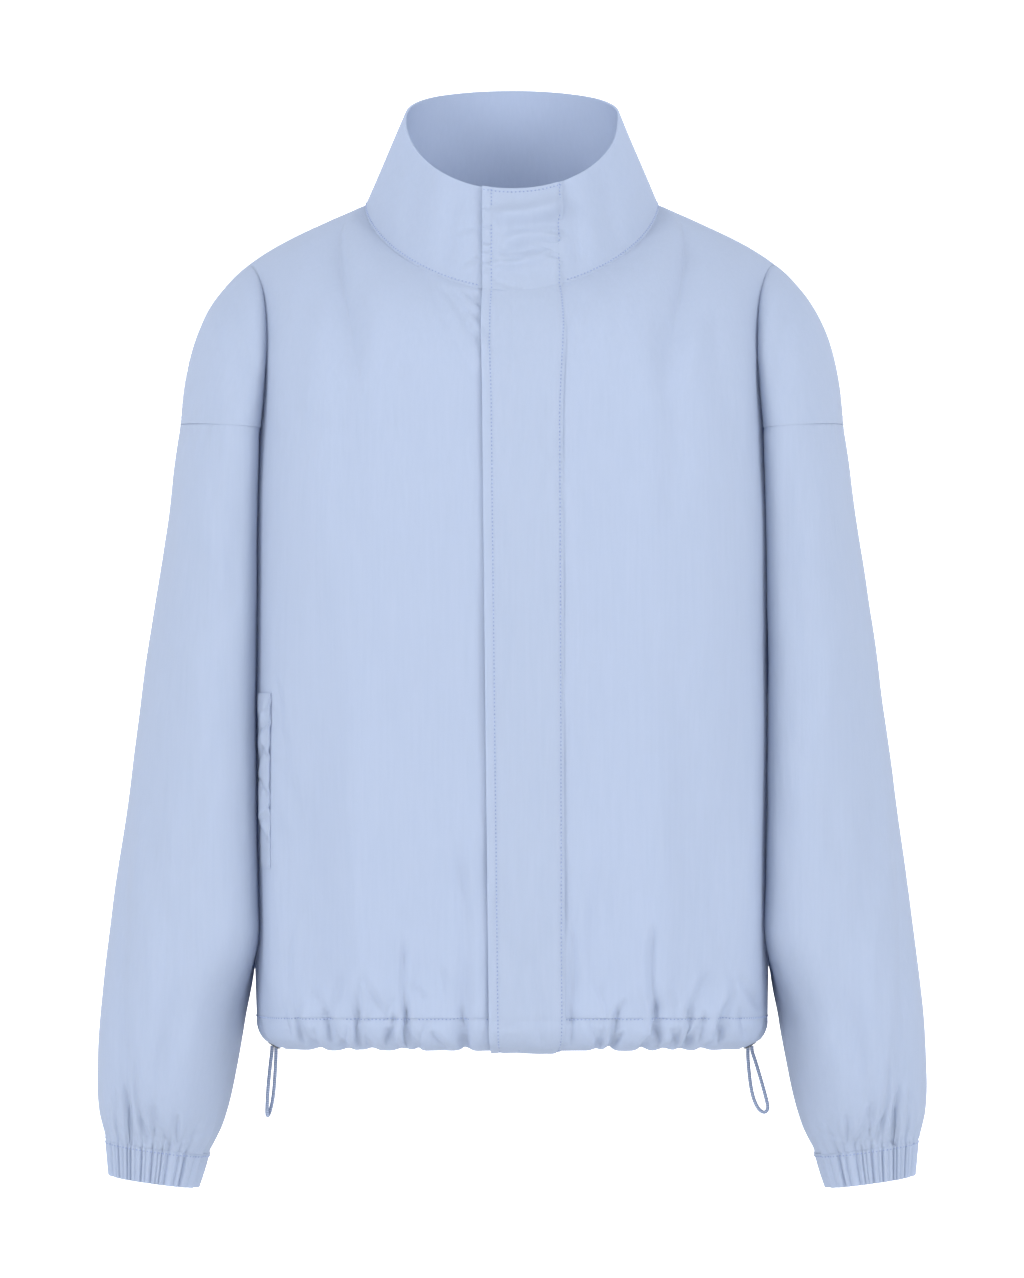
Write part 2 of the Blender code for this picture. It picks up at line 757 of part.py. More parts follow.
def casing_grid(face, gathers, side):
    ruler = hem_ruler(face)
    angles = [0.0]
    if face > 0:
        columns = spread((0.0, 1.0), (PLACKET_CELLS,))
        angles = [column_angle(side, face, column, HEM_Z) for column in columns]
    alongs = [hem_along(ruler, angle) for angle in angles]
    beyond = casing_places(gathers, alongs[-1], ruler[-1].along)[1:]
    alongs += beyond
    angles += [hem_angle(ruler, along) for along in beyond]
    rows = range(len(CASING) - 1, -1, -1)
    places = list(zip(angles, alongs))
    return [[casing_point(face, angle, along, row, gathers) for angle, along in places] for row in rows]


def sleeve_turns():
    return spread((0.0, 1.0, 2.0, 3.0), (SLEEVE_ARC_CELLS, SLEEVE_ARC_CELLS, SLEEVE_INNER_CELLS))[:-1]


def sleeve_grid():
    shares = [(row / SLEEVE_ROWS) ** SLEEVE_ROWS_CROWD_LOW for row in range(SLEEVE_ROWS + 1)]
    return [[sleeve_point(turn, share) for turn in sleeve_turns()] for share in shares]


def cuff_grid(gathered):
    count = CUFF_GATHERS * CUFF_CELLS_PER_GATHER
    turns = [3.0 * step / count for step in range(count)]
    return [[cuff_point(turn, row.height, gathered) for turn in turns] for row in CUFF]


def collar_grid():
    columns = spread((0.0, 1.0, 2.0), (PLACKET_CELLS, CHEST_CELLS))
    grid = []
    for share in spread((0.0, 1.0), (COLLAR_ROWS,)):
        row = [collar_point(1, 1, column, share) for column in columns]
        row += [collar_point(1, -1, column, share) for column in reversed(columns[:-1])]
        far_back = [collar_point(1, -1, column, share) for column in columns[1:-1]]
        far_front = [collar_point(-1, 1, column, share) for column in reversed(columns)]
        row += [Vector((-p.x, p.y, p.z)) for p in far_back + far_front]
        grid.append(row)
    return grid


def placket_strip(side):
    """Return the panel's own points under one side of the placket, hem edge to neck seam."""
    columns = spread((0.0, 1.0), (PLACKET_CELLS,))
    gathers = GATHERS_FRONT_LEFT if side > 0 else GATHERS_FRONT_RIGHT
    ruler = hem_ruler(1)
    angles = [column_angle(side, 1, column, HEM_Z) for column in columns]
    places = [(angle, hem_along(ruler, angle)) for angle in angles]
    rows = []
    for row in range(len(CASING) - 1, 0, -1):
        rows.append([casing_point(1, angle, along, row, gathers) for angle, along in places])
    for share in spread((0.0, 1.0), (BODY_ROWS,)):
        rows.append([body_point(side, 1, column, share) for column in columns])
    for share in spread((0.0, 1.0), (YOKE_ROWS,))[1:]:
        rows.append([yoke_point(side, 1, column, share) for column in columns])
    return rows


def collar_strip(side):
    columns = spread((0.0, 1.0), (PLACKET_CELLS,))
    shares = spread((0.0, 1.0), (COLLAR_ROWS,))
    return [[collar_point(side, 1, column, share) for column in columns] for share in shares]


def across_middle(strip):
    """Join a strip for the wearer's right to one for the left, over the centre front."""
    grid = []
    for right, left in zip(strip(-1), strip(1)):
        far_side = [Vector((-p.x, p.y, p.z)) for p in reversed(right)]
        grid.append(far_side + left[1:])
    return grid


def welt_shell(angles):
    across, along = WELT_CELLS
    grid = []
    for row in range(along + 1):
        height = WELT_TOP_Z - WELT_LENGTH * (1.0 - row / along)
        points = []
        for step in range(across + 1):
            angle = math.radians(mix(angles[0], angles[1], step / across))
            offset = drape_offset(FRONT_DRAPES, angle, height)
            points.append(torso_point(height, angle, 1, -offset))
        grid.append(points)
    return grid


def make_cord(name, table, side, material):
    start = Vector((side * EYELET_X, EYELET_Y, EYELET_Z))
    controls = [start + Vector((side * p.out, -p.forward, -p.down)) for p in table]
    path = []
    for index in range(len(controls) - 1):
        before = controls[max(index - 1, 0)]
        here = controls[index]
        there = controls[index + 1]
        after = controls[min(index + 2, len(controls) - 1)]
        for step in range(CORD_STEPS):
            curve = (here, here + (there - before) / 6.0, there - (after - here) / 6.0, there)
            path.append(bezier(curve, step / CORD_STEPS))
    path.append(controls[-1])
    data = bpy.data.curves.new(name, "CURVE")
    data.dimensions = "3D"
    data.bevel_depth = CORD_RADIUS
    data.bevel_resolution = CORD_BEVEL_RESOLUTION
    data.use_fill_caps = True
    spline = data.splines.new("POLY")
    spline.points.add(len(path) - 1)
    for point, place in zip(spline.points, path):
        point.co = (*place, 1.0)
    item = bpy.data.objects.new(name, data)
    item.data.materials.append(material)
    bpy.context.collection.objects.link(item)
    return item


def make_eyelet(name, side, material):
    bpy.ops.mesh.primitive_torus_add(
        major_radius=EYELET_RING_RADIUS,
        minor_radius=EYELET_WIRE_RADIUS,
        major_segments=EYELET_SEGMENTS[0],
        minor_segments=EYELET_SEGMENTS[1],
    )
    item = bpy.context.object
    item.name = name
    item.data.transform(Matrix.Rotation(-side * EYELET_LEAN, 4, "Y"))
    item.data.transform(Matrix.Translation((side * EYELET_X, EYELET_Y, EYELET_Z)))
    item.data.materials.append(material)
    return item


def make_material(name, finish):
    material = bpy.data.materials.new(name)
    material.use_nodes = True
    shader = material.node_tree.nodes["Principled BSDF"]
    shader.inputs["Base Color"].default_value = finish.colour
    shader.inputs["Roughness"].default_value = finish.roughness
    shader.inputs["Metallic"].default_value = finish.metallic
    return material


def build_shells():
    """Return each wall's shell by name, with its faces turned outward."""
    front_left = panel_grids(1, 1)
    front_right = panel_grids(-1, 1)
    back_half = panel_grids(1, -1)
    hem_left = casing_grid(1, GATHERS_FRONT_LEFT, 1)
    hem_right = casing_grid(1, GATHERS_FRONT_RIGHT, -1)
    hem_back = casing_grid(-1, GATHERS_BACK, 1)
    sleeve = sleeve_grid()
    cuff = cuff_grid(True)
    back = turned(back_half) + turned([mirrored(grid) for grid in back_half])
    return {
        "front_left": welded(front_left),
        "front_right": welded([mirrored(grid) for grid in front_right]),
        "back": welded(back),
        "hem_front_left": welded([hem_left]),
        "hem_front_right": welded([mirrored(hem_right)]),
        "hem_back": welded(turned([hem_back]) + turned([mirrored(hem_back)])),
        "sleeve_left": welded([sleeve], closed=True),
        "sleeve_right": welded([mirrored(sleeve)], closed=True),
        "cuff_left": welded([cuff], closed=True),
        "cuff_right": welded([mirrored(cuff)], closed=True),
        "collar": welded([collar_grid()]),
    }


def build():
    for item in list(bpy.data.objects):
        bpy.data.objects.remove(item)
    cloth = make_material("woven_nylon", NYLON)
    cord = make_material("elastic_cord", ELASTIC)
    metal = make_material("gunmetal", GUNMETAL)

    shells = build_shells()
    normals = collect_normals(shells.values())
    walls = {"collar": COLLAR_WALL, "cuff": CUFF_WALL, "hem": CASING_WALL}
    plain_cuff = cuff_grid(False)
    insides = {
        "cuff_left": welded([plain_cuff], closed=True)[0],
        "cuff_right": welded([mirrored(plain_cuff)], closed=True)[0],
    }
    for name, shell in shells.items():
        wall = walls.get(name.split("_")[0], CLOTH_WALL)
        make_wall(name, shell, normals, wall, cloth, insides.get(name))

    placket_raise = LAID_GAP + PLACKET_WALL
    laid = {
        "placket": (across_middle(placket_strip), PLACKET_WALL),
        "placket_neck": (across_middle(collar_strip), PLACKET_WALL),
    }
    for name, (grid, wall) in laid.items():
        make_wall(name, welded([grid]), normals, wall, cloth, raised=placket_raise)
    welts = {
        "pocket_left": welt_shell(WELT_LEFT_ANGLES),
        "pocket_right": mirrored(welt_shell(WELT_RIGHT_ANGLES)),
    }
    for name, grid in welts.items():
        shell = welded([grid])
        make_wall(name, shell, collect_normals([shell]), WELT_WALL, cloth, raised=LAID_GAP + WELT_WALL)

    make_cord("cord_left", CORD_LEFT, 1, cord)
    make_cord("cord_right", CORD_RIGHT, -1, cord)
    make_eyelet("eyelet_left", 1, metal)
    make_eyelet("eyelet_right", -1, metal)


build()
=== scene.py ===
"""Looks of a windbreaker filled out with no wearer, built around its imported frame.

Metres, +Z up, the front faces -Y and the wearer's left is +X.
Tables read by in_metres are written in millimetres.
"""

import math
from collections import namedtuple

import bpy
import numpy as np
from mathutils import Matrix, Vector, noise


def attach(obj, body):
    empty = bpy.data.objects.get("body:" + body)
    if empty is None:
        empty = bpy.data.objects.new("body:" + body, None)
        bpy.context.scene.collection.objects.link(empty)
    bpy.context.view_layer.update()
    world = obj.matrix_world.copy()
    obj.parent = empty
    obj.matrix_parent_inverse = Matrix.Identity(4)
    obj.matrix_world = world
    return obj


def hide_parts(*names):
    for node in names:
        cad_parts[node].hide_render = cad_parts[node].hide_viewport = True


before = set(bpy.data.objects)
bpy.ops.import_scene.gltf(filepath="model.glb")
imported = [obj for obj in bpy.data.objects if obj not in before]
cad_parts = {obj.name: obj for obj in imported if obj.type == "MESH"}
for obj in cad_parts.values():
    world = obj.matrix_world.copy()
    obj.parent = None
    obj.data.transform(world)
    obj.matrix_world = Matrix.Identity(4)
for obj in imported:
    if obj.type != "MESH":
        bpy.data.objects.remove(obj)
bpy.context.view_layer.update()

bl_info = {
    "name": "Windbreaker",
    "version": (1, 0, 0),
    "blender": (4, 5, 0),
    "location": "View3D > Sidebar > Windbreaker",
    "description": "Dresses a windbreaker's hollow frame in sewn nylon cloth",
    "category": "Object",
}

BODY = "root"
MIRROR = np.array((-1.0, 1.0, 1.0))


def in_metres(kind, rows):
    """Read rows of millimetres into a table with named columns, in metres."""
    return tuple(kind(*(value / 1000.0 for value in row)) for row in rows)


# Torso, from the hem seam up
TorsoRing = namedtuple("TorsoRing", "height half_width front_depth back_depth")
TORSO = (
    TorsoRing(-0.568, 0.1780, 0.122, 0.116),
    TorsoRing(-0.500, 0.1795, 0.127, 0.117),
    TorsoRing(-0.400, 0.1805, 0.131, 0.118),
    TorsoRing(-0.300, 0.1810, 0.134, 0.119),
    TorsoRing(-0.215, 0.1805, 0.132, 0.121),
    TorsoRing(-0.158, 0.1790, 0.127, 0.120),
)
TORSO_SQUARENESS = 3.4
TORSO_MIDDLE_Y = 0.002
HEM_Z = -0.568
HEM_FRONT_RISE = 0.006
CHEST_Z = -0.158
UNDERARM_DIP = 0.034
HEM_STILL_SHARE = 0.06
HEM_LEVEL_OVER = 0.004

# Neck seam, shoulder ridge and drop-shoulder cap
NECK_HALF_WIDTH = 0.103
NECK_MIDDLE_Y = 0.005
NECK_FRONT_REACH = 0.101
NECK_BACK_REACH = 0.070
NECK_FRONT_Z = -0.066
NECK_BACK_Z = 0.002
NECK_ROUNDNESS = 1.75
NECK_FAN = 0.6
YOKE_SLOPES = (58.0, 14.0)
YOKE_ARRIVES_OVER = (0.030, 0.046)
YOKE_LEAVES_BY = (0.032, 0.072)
RIDGE = ((0.103, 0.0), (0.172, -0.031), (0.227, -0.045), (0.2320, -0.154))
RIDGE_OUTER_Y = 0.0
CREASE_AT_RIDGE = 0.45
CREASE_FRONT_Y = 0.062
CREASE_BACK_Y = 0.058
CREASE_LEAVES = (-0.0065, 0.007, 0.048)
CREASE_ARRIVES = (-0.0163, 0.0464, -0.0081)
CAP_FULLNESS = 1.22
CAP_OUTER_POWER = 0.65

# Sleeves, from the cuff seam up
SleeveRing = namedtuple("SleeveRing", "height inner_x outer_x half_depth middle_y")
SLEEVE = (
    SleeveRing(-0.6575, 0.2104, 0.2843, 0.036, -0.010),
    SleeveRing(-0.6380, 0.2010, 0.2885, 0.049, -0.010),
    SleeveRing(-0.6100, 0.1935, 0.2893, 0.058, -0.011),
    SleeveRing(-0.5600, 0.1850, 0.2868, 0.065, -0.012),
    SleeveRing(-0.4900, 0.1800, 0.2784, 0.069, -0.010),
    SleeveRing(-0.4000, 0.1790, 0.2667, 0.070, -0.006),
    SleeveRing(-0.3000, 0.1785, 0.2530, 0.070, -0.003),
    SleeveRing(-0.2150, 0.1780, 0.2405, 0.068, -0.001),
    SleeveRing(-0.1540, 0.1780, 0.2320, 0.066, 0.000),
)
CUFF = (
    SleeveRing(-0.6820, 0.2177, 0.2821, 0.030, -0.010),
    SleeveRing(-0.6700, 0.2138, 0.2832, 0.033, -0.010),
    SleeveRing(-0.6575, 0.2104, 0.2843, 0.036, -0.010),
)
SLEEVE_INNER_TURN = 150.0
SLEEVE_INNER_MIDDLE = 2.5
SLEEVE_ROUNDNESS = 0.86
SLEEVE_PUFF = 0.022
SLEEVE_LEAN = -0.25
SLEEVE_OFF_ARMHOLE = 0.0003
SLEEVE_OFF_POCKET = 0.0006
SLEEVE_OFF_FROM = (-0.200, -0.300)
SLEEVE_LEAVES_TORSO = (-0.570, -0.500)
CUFF_SLOPE = 0.14
CUFF_SLOPE_FROM = -0.590
CUFF_GATHERS_INNER = 5.0
CUFF_GATHERS_OUTER = 14.0
CUFF_CROWDED_FROM = 0.38
CUFF_ROUND_SHARE = 0.35
CUFF_GATHER_LEAN = 60.0
CUFF_GATHER_SWAY = 0.2
CUFF_SEAM_GATHERED = 0.45
CUFF_SEAM_FADE = 0.004
SLEEVE_GATHER_DEPTH = 0.0027
SLEEVE_GATHER_REACH = (0.006, 0.018)
SLEEVE_GATHER_TURNS = 1.9
SLEEVE_FOLD_SHARE = 0.4
SLEEVE_FOLD_START = 0.006
SLEEVE_FOLD_AT_SEAM = 0.3
SLEEVE_FACE_BLEND = 0.012

# Uneven spacing and depth of the cuffs' gathers
Wave = namedtuple("Wave", "size turns start")
GATHER_SHIFTS = (Wave(0.16, 2.1, 0.0), Wave(0.12, 0.9, 1.0))
GATHER_SIZE = 0.74
GATHER_SIZE_WAVE = Wave(0.26, 2.7, 0.4)
GATHER_SHARPNESS = 0.8

# Folds rising from each cuff; the turn counts front, back and inner arcs
SleeveFold = namedtuple("SleeveFold", "turn width depth reach")
SLEEVE_FOLDS = (
    SleeveFold(0.25, 0.09, -0.0035, 0.050),
    SleeveFold(0.48, 0.08, -0.0045, 0.085),
    SleeveFold(0.68, 0.07, -0.0040, 0.060),
    SleeveFold(0.88, 0.07, -0.0045, 0.110),
    SleeveFold(1.12, 0.07, -0.0035, 0.055),
    SleeveFold(1.35, 0.08, -0.0045, 0.090),
    SleeveFold(1.60, 0.08, -0.0040, 0.065),
    SleeveFold(1.84, 0.08, -0.0040, 0.045),
    SleeveFold(2.50, 0.20, -0.0035, 0.060),
)

# Broad drapes of the body, placed by degrees from the centre front or back
Drape = namedtuple("Drape", "angle width depth low high")
FRONT_DRAPES = (
    Drape(9.3, 4.0, -0.0028, -0.568, -0.440),
    Drape(22.0, 5.9, 0.0030, -0.568, -0.300),
    Drape(40.1, 6.8, -0.0030, -0.568, -0.360),
    Drape(58.7, 8.3, 0.0026, -0.568, -0.250),
)
BACK_DRAPES = (
    Drape(5.6, 4.0, 0.0030, -0.568, -0.260),
    Drape(21.0, 5.9, -0.0032, -0.568, -0.380),
    Drape(41.3, 7.9, 0.0030, -0.568, -0.230),
    Drape(61.0, 7.2, -0.0028, -0.568, -0.330),
)

# Collar
COLLAR_TOP_HALF_WIDTH = 0.0755
COLLAR_TOP_MIDDLE_Y = 0.004
COLLAR_TOP_FRONT_REACH = 0.073
COLLAR_TOP_BACK_REACH = 0.055
COLLAR_TOP_SIDE_Z = 0.0625
COLLAR_TOP_FRONT_DROP = 0.0565
COLLAR_TOP_BACK_RISE = 0.0225
COLLAR_TOP_BACK_FLATNESS = 0.8

# Placket, its edges either side of the centre front
PLACKET_RIGHT_NECK_X = 0.0212
PLACKET_RIGHT_HEM_X = 0.0158
PLACKET_LEFT_NECK_X = 0.0345
PLACKET_LEFT_HEM_X = 0.0362
PLACKET_RAISE = 0.0020

# Hem casing
CasingRow = namedtuple("CasingRow", "drop inset")
CasingProfile = namedtuple("CasingProfile", "share drop inset")
RULER_STEPS = 720
GATHER_LEAN = 0.004
GATHER_TURNS = 400.0
GATHER_DEEPENS = 0.6
GATHER_EASED = 0.55
GATHER_EASES_FROM = 0.6
CASING = in_metres(CasingRow, (
    (0, 0),
    (9, 0.4),
    (17.5, 5),
    (23.5, 15.5),
))
GATHER_LIFT = 1.00
CASING_EDGE_CREASED = 0.25
CASING_EDGE_RISE = 0.011
Gather = namedtuple("Gather", "along width depth")
GATHERS_FRONT_RIGHT = in_metres(Gather, (
    (33.7, 5, 3.6),
    (72.1, 4.2, 4.2),
    (83.8, 4.2, 3.4),
    (106.6, 5.5, 4.2),
    (124.7, 4.8, 3.6),
    (149, 6, 4.4),
    (205, 7, 3.4),
))
GATHERS_FRONT_LEFT = in_metres(Gather, (
    (63, 4, 3.6),
    (72.4, 4, 4),
    (98.2, 5, 4.2),
    (116, 4.8, 3.8),
    (128, 4.4, 4),
    (147, 5, 3.8),
    (208, 7, 3.4),
))
GATHERS_BACK = in_metres(Gather, (
    (14, 5, 3.6),
    (39, 4.4, 4.2),
    (62, 5.8, 3.4),
    (90, 4.6, 4.2),
    (108, 5, 3.6),
    (140, 6, 4),
    (198, 7, 3.6),
))

# Pocket welts
WELT_TOP_Z = -0.341
WELT_LENGTH = 0.120
WELT_RIGHT_ANGLES = (57.5, 69.5)
WELT_LEFT_ANGLES = (73.0, 83.0)
WELT_RAISE = 0.0018
WELT_LOW_RAISE = 0.0006

# Drawcord loops
EYELET_X = 0.1664
EYELET_Y = -0.004
EYELET_Z = -0.5877
CordPoint = namedtuple("CordPoint", "out forward down")
CORD_LEFT = in_metres(CordPoint, (
    (-1.4, 0, 0.5),
    (-1.4, 0.6, 9),
    (-0.5, 1, 20),
    (0.8, 1.4, 30),
    (2.8, 1.6, 38),
    (6, 1.8, 44.5),
    (10, 1.8, 47),
    (12.4, 1.8, 44),
    (11.2, 1.6, 37),
    (7.6, 1.2, 24),
    (4, 0.8, 12),
    (1.6, 0.2, 4.5),
    (1.4, 0, 0.5),
))
CORD_RIGHT = in_metres(CordPoint, (
    (-1.4, 0, 0.5),
    (-1.2, -0.2, 10),
    (-0.5, -1.6, 22),
    (0.4, -3.4, 33),
    (1.8, -4.4, 42),
    (3.4, -3, 47.8),
    (4.4, 0.6, 49.4),
    (4.8, 3.8, 47),
    (4.6, 4.8, 40),
    (4, 3.8, 29),
    (2.8, 1.8, 16),
    (1.6, 0.2, 5),
    (1.4, 0, 0.5),
))

# Creases placed one by one, as lines seen from the front or back: x is outward from the midline
Crease = namedtuple("Crease", "x_top z_top x_low z_low width depth")
CREASE_BOW = 0.05
CREASE_TURNS = 400.0
CREASE_TAPER = 0.18
CREASE_RIDGE = 0.45
CREASE_RIDGE_AT = 2.0
CREASE_RIDGE_WIDTH = 1.3
CREASE_SHARP_BELOW = 0.0045
CREASE_SHARPNESS = 0.95
CREASES_FRONT_RIGHT = in_metres(Crease, (
    (92, -60, 88, -190, 10, 1),
    (82, -100, 78, -300, 9, -1),
    (118, -80, 116, -240, 11, -1),
    (140, -60, 150, -150, 9, -1.2),
    (108, -330, 104, -520, 14, 1.2),
    (132, -250, 140, -460, 12, -1),
    (60, -200, 64, -400, 15, 1),
    (160, -390, 140, -440, 5, -1),
    (161, -430, 150, -500, 6, -1),
    (163, -330, 158, -362, 2.2, -1.2),
    (161, -360, 154, -390, 2.8, -1),
    (48.9, -61.5, 22.9, -102.6, 2.6, -1.6),
    (40.7, -63.6, 22.2, -85.5, 2.2, -1.8),
    (33.9, -64.9, 22.2, -75.9, 1.8, -1.6),
    (55.8, -59.5, 28.4, -119.7, 3.6, -1.2),
    (28.4, -64.9, 21.6, -70.4, 1.4, -1.4),
    (37.1, -454.4, 33.7, -561.3, 5, -3),
    (26.2, -433.9, 22.8, -561.3, 6, 1.6),
    (72.6, -512.3, 71.9, -561.3, 2.4, -2.6),
    (67.8, -539.5, 59.6, -549.8, 2.2, -1.6),
    (81.4, -549.8, 88.2, -561.3, 2.2, -1.6),
    (103.2, -534.8, 86.9, -561.3, 3, -1.6),
    (104.6, -539.5, 104.6, -561.3, 2.4, -2.2),
    (116.8, -532.7, 125, -561.3, 3, -2),
    (135.9, -542.9, 126.4, -561.3, 2.6, -1.8),
    (151.6, -502.1, 150.9, -561.3, 3.6, -1.6),
    (144.1, -549.8, 148.2, -561.3, 2, -1.4),
    (48.7, -529.3, 44.6, -561.3, 3.4, -1.4),
))
CREASES_FRONT_LEFT = in_metres(Crease, (
    (48, -70, 42, -110, 5, -1),
    (60, -64, 62, -130, 6, 0.8),
    (88, -100, 92, -250, 11, 1.2),
    (104, -80, 110, -220, 9, -1.2),
    (128, -90, 118, -140, 8, 1.2),
    (145, -70, 150, -170, 9, -1.2),
    (86, -300, 84, -520, 14, 1.2),
    (116, -280, 120, -480, 12, -1.1),
    (142, -360, 136, -540, 10, 1.2),
    (60, -180, 58, -380, 15, -0.9),
    (41.2, -502.1, 39.2, -561.3, 3.4, -2.6),
    (48.7, -454.4, 50.8, -549.8, 6, 1.4),
    (58.9, -539.5, 64.4, -561.3, 2.4, -1.4),
    (76.6, -549.8, 71.2, -561.3, 2.2, -1.8),
    (97.1, -502.1, 99.1, -561.3, 3, -2.8),
    (132.5, -534.8, 120.9, -561.3, 2.4, -2.4),
    (152.3, -538.9, 146.8, -561.3, 2.4, -2.6),
    (157, -536.1, 172, -558.6, 3, -2.4),
    (142.1, -515.7, 152.3, -538.9, 4, -1.2),
    (109.4, -539.5, 114.8, -561.3, 3, -1.2),
))
CREASES_BACK = in_metres(Crease, (
    (20, -60, 14, -260, 12, 1.1),
    (52, -40, 44, -170, 8, -1.2),
    (86, -60, 78, -240, 10, 1.2),
    (120, -70, 126, -200, 8, -1.4),
    (150, -80, 158, -180, 7, -1.4),
    (34, -300, 40, -540, 13, -1.2),
    (70, -380, 64, -566, 8, 1.4),
    (96, -480, 100, -566, 4, -2.4),
    (118, -340, 124, -540, 12, 1.2),
    (140, -500, 134, -566, 3.8, -2.4),
    (12, -520, 14, -566, 3, -2.4),
    (40, -528, 38, -566, 2.8, -2.2),
    (60, -534, 64, -566, 3, -2.2),
    (112, -530, 108, -566, 2.8, -2),
))
CREASES_BACK_LEFT = in_metres(Crease, (
    (30, -120, 42, -360, 12, -1.4),
    (106, -220, 90, -420, 10, -1.4),
    (128, -510, 122, -566, 3.4, -2.4),
    (76, -500, 80, -566, 3.6, -2.6),
))
CREASES_BACK_RIGHT = in_metres(Crease, (
    (62, -160, 54, -340, 11, 1.4),
    (134, -260, 124, -440, 10, -1.4),
    (25, -490, 28, -566, 3.4, -2.4),
    (86, -520, 82, -566, 3, -2.2),
))
CREASES_CAP = in_metres(Crease, (
    (196, -62, 180, -120, 6, -1.4),
    (206, -80, 200, -140, 7, 1),
    (214, -100, 222, -150, 6, -1),
))
CREASES_HEM_RIGHT = in_metres(Crease, (
    (148.9, -558.6, 142.7, -581.1, 2.2, -2.6),
    (129.1, -557.9, 123, -581.1, 3, -3.6),
    (104.6, -556.6, 104.3, -583.8, 2, -3.6),
    (80.7, -557.9, 85.5, -581.1, 2.4, -2.8),
    (71.9, -555.2, 71.2, -585.2, 2, -3.8),
    (34.4, -555.2, 32.4, -585.2, 3.2, -3.2),
    (135.9, -570.2, 133.2, -582.5, 2, -1.4),
    (113.4, -567.5, 115.5, -582.5, 2.2, -1.6),
    (55.5, -572.9, 44.6, -583.8, 2.4, -2),
    (58.9, -566.1, 63.7, -583.8, 2, -1.4),
    (93, -560.7, 77.3, -563.4, 1.6, -1),
    (157.7, -557.9, 152.3, -577, 2.6, -2),
))
CREASES_HEM_LEFT = in_metres(Crease, (
    (71.9, -555.2, 68.5, -579.7, 2.6, -3),
    (75.3, -572.9, 64.4, -585.2, 2, -2.6),
    (98.5, -552.5, 99.8, -583.8, 2.4, -3.8),
    (121.6, -555.2, 118.9, -582.5, 2.4, -3.6),
    (132.5, -559.3, 127.8, -581.1, 2, -2),
    (146.8, -555.2, 141.4, -581.1, 2.6, -3.6),
    (93, -574.3, 87.6, -583.8, 1.8, -1.8),
    (109.4, -570.2, 112.1, -582.5, 2, -1.8),
    (40.5, -557.9, 39.9, -579.7, 3, -2.6),
    (53.5, -564.8, 60.3, -582.5, 2.4, -1.4),
    (157, -559.3, 161.1, -577, 2.8, -1.8),
))
CREASES_HEM_BACK = in_metres(Crease, (
    (14, -575, 12, -590, 2.4, -3.4),
    (38, -575, 40, -590, 2.2, -3.2),
    (52, -575, 56, -590, 2, -1.8),
    (64, -575, 61, -590, 2.8, -3.4),
    (90, -575, 88, -590, 2.2, -3.4),
    (108, -575, 109, -590, 2.6, -3),
    (124, -575, 121, -590, 2, -2),
    (139, -575, 137, -590, 2.8, -3.4),
    (158, -575, 156, -590, 2.4, -2.6),
))
CREASES_SLEEVE_FRONT = in_metres(Crease, (
    (190, -170, 196, -300, 8, -1.4),
    (214, -180, 206, -250, 6, 1.2),
    (236, -200, 244, -330, 8, -1.2),
    (224, -300, 212, -440, 11, 1.6),
    (250, -340, 246, -460, 8, -1.4),
    (204, -380, 232, -470, 9, -1.6),
    (266, -420, 264, -660, 5, -2.2),
    (256, -470, 254, -630, 7, 1.6),
    (222, -500, 240, -600, 8, -1.6),
    (231, -157, 227, -168, 1.3, -1.4),
    (227, -157, 225, -166, 1.2, -1.2),
    (223, -157, 220, -169, 1.3, -1.3),
    (218, -157, 217, -164, 1.2, -1),
    (211, -157, 208, -166, 1.4, -1),
    (275.5, -615.6, 273.5, -650.2, 2.2, -1.7),
    (268.6, -614.3, 265.2, -650.9, 2, -2.2),
    (261, -596.3, 252.7, -650.9, 2.6, -2.5),
    (264.5, -626, 261, -650.9, 1.8, -1.4),
    (250, -629.5, 245.1, -652.3, 2, -2),
    (247.9, -626, 237.5, -653.7, 2.2, -1.9),
    (230.6, -633.6, 232, -653.7, 2, -2),
    (210.5, -643.3, 227.1, -649.5, 1.8, -1.1),
    (215.4, -636.4, 223.7, -654.4, 2.2, -1.1),
    (279, -626, 277.6, -649.5, 1.8, -1.2),
    (256.9, -635, 250, -652.3, 1.8, -1.4),
))
CREASES_SLEEVE_BACK = in_metres(Crease, (
    (196, -170, 204, -290, 8, -1.4),
    (226, -190, 220, -300, 8, 1.2),
    (206, -330, 244, -400, 8, -2),
    (204, -370, 250, -440, 8, -1.8),
    (240, -430, 252, -560, 9, 1.6),
    (222, -500, 228, -640, 7, -1.8),
    (262, -540, 262, -656, 4, -3),
    (244, -600, 242, -656, 2.6, -3.4),
    (252, -616, 256, -656, 2.4, -3),
    (234, -624, 229, -656, 2.6, -3),
    (274, -620, 272, -656, 2.2, -2.8),
    (220, -630, 222, -658, 2.4, -2.6),
))
CREASES_COLLAR = in_metres(Crease, (
    (60, 30, 72, -30, 8, -1),
    (82, 20, 80, -20, 7, 1),
    (40, 0, 48, -50, 6, -1),
    (26, -20, 38, -24, 2, -1),
    (23, -42, 34, -47, 2, -1.2),
))
CREASES_PLACKET = in_metres(Crease, (
    (-20, -90, -12, -110, 3, -1),
    (10, -120, 6, -260, 8, 1),
    (-6, -220, -2, -380, 9, -1),
    (24, -300, 20, -440, 7, 1),
    (4, -430, 8, -520, 8, 1),
    (12, -520, 19, -560, 4, -1.4),
    (20, -560, 21, -580, 3, -1.6),
    (-8, -568, 4, -567, 2, -1),
))
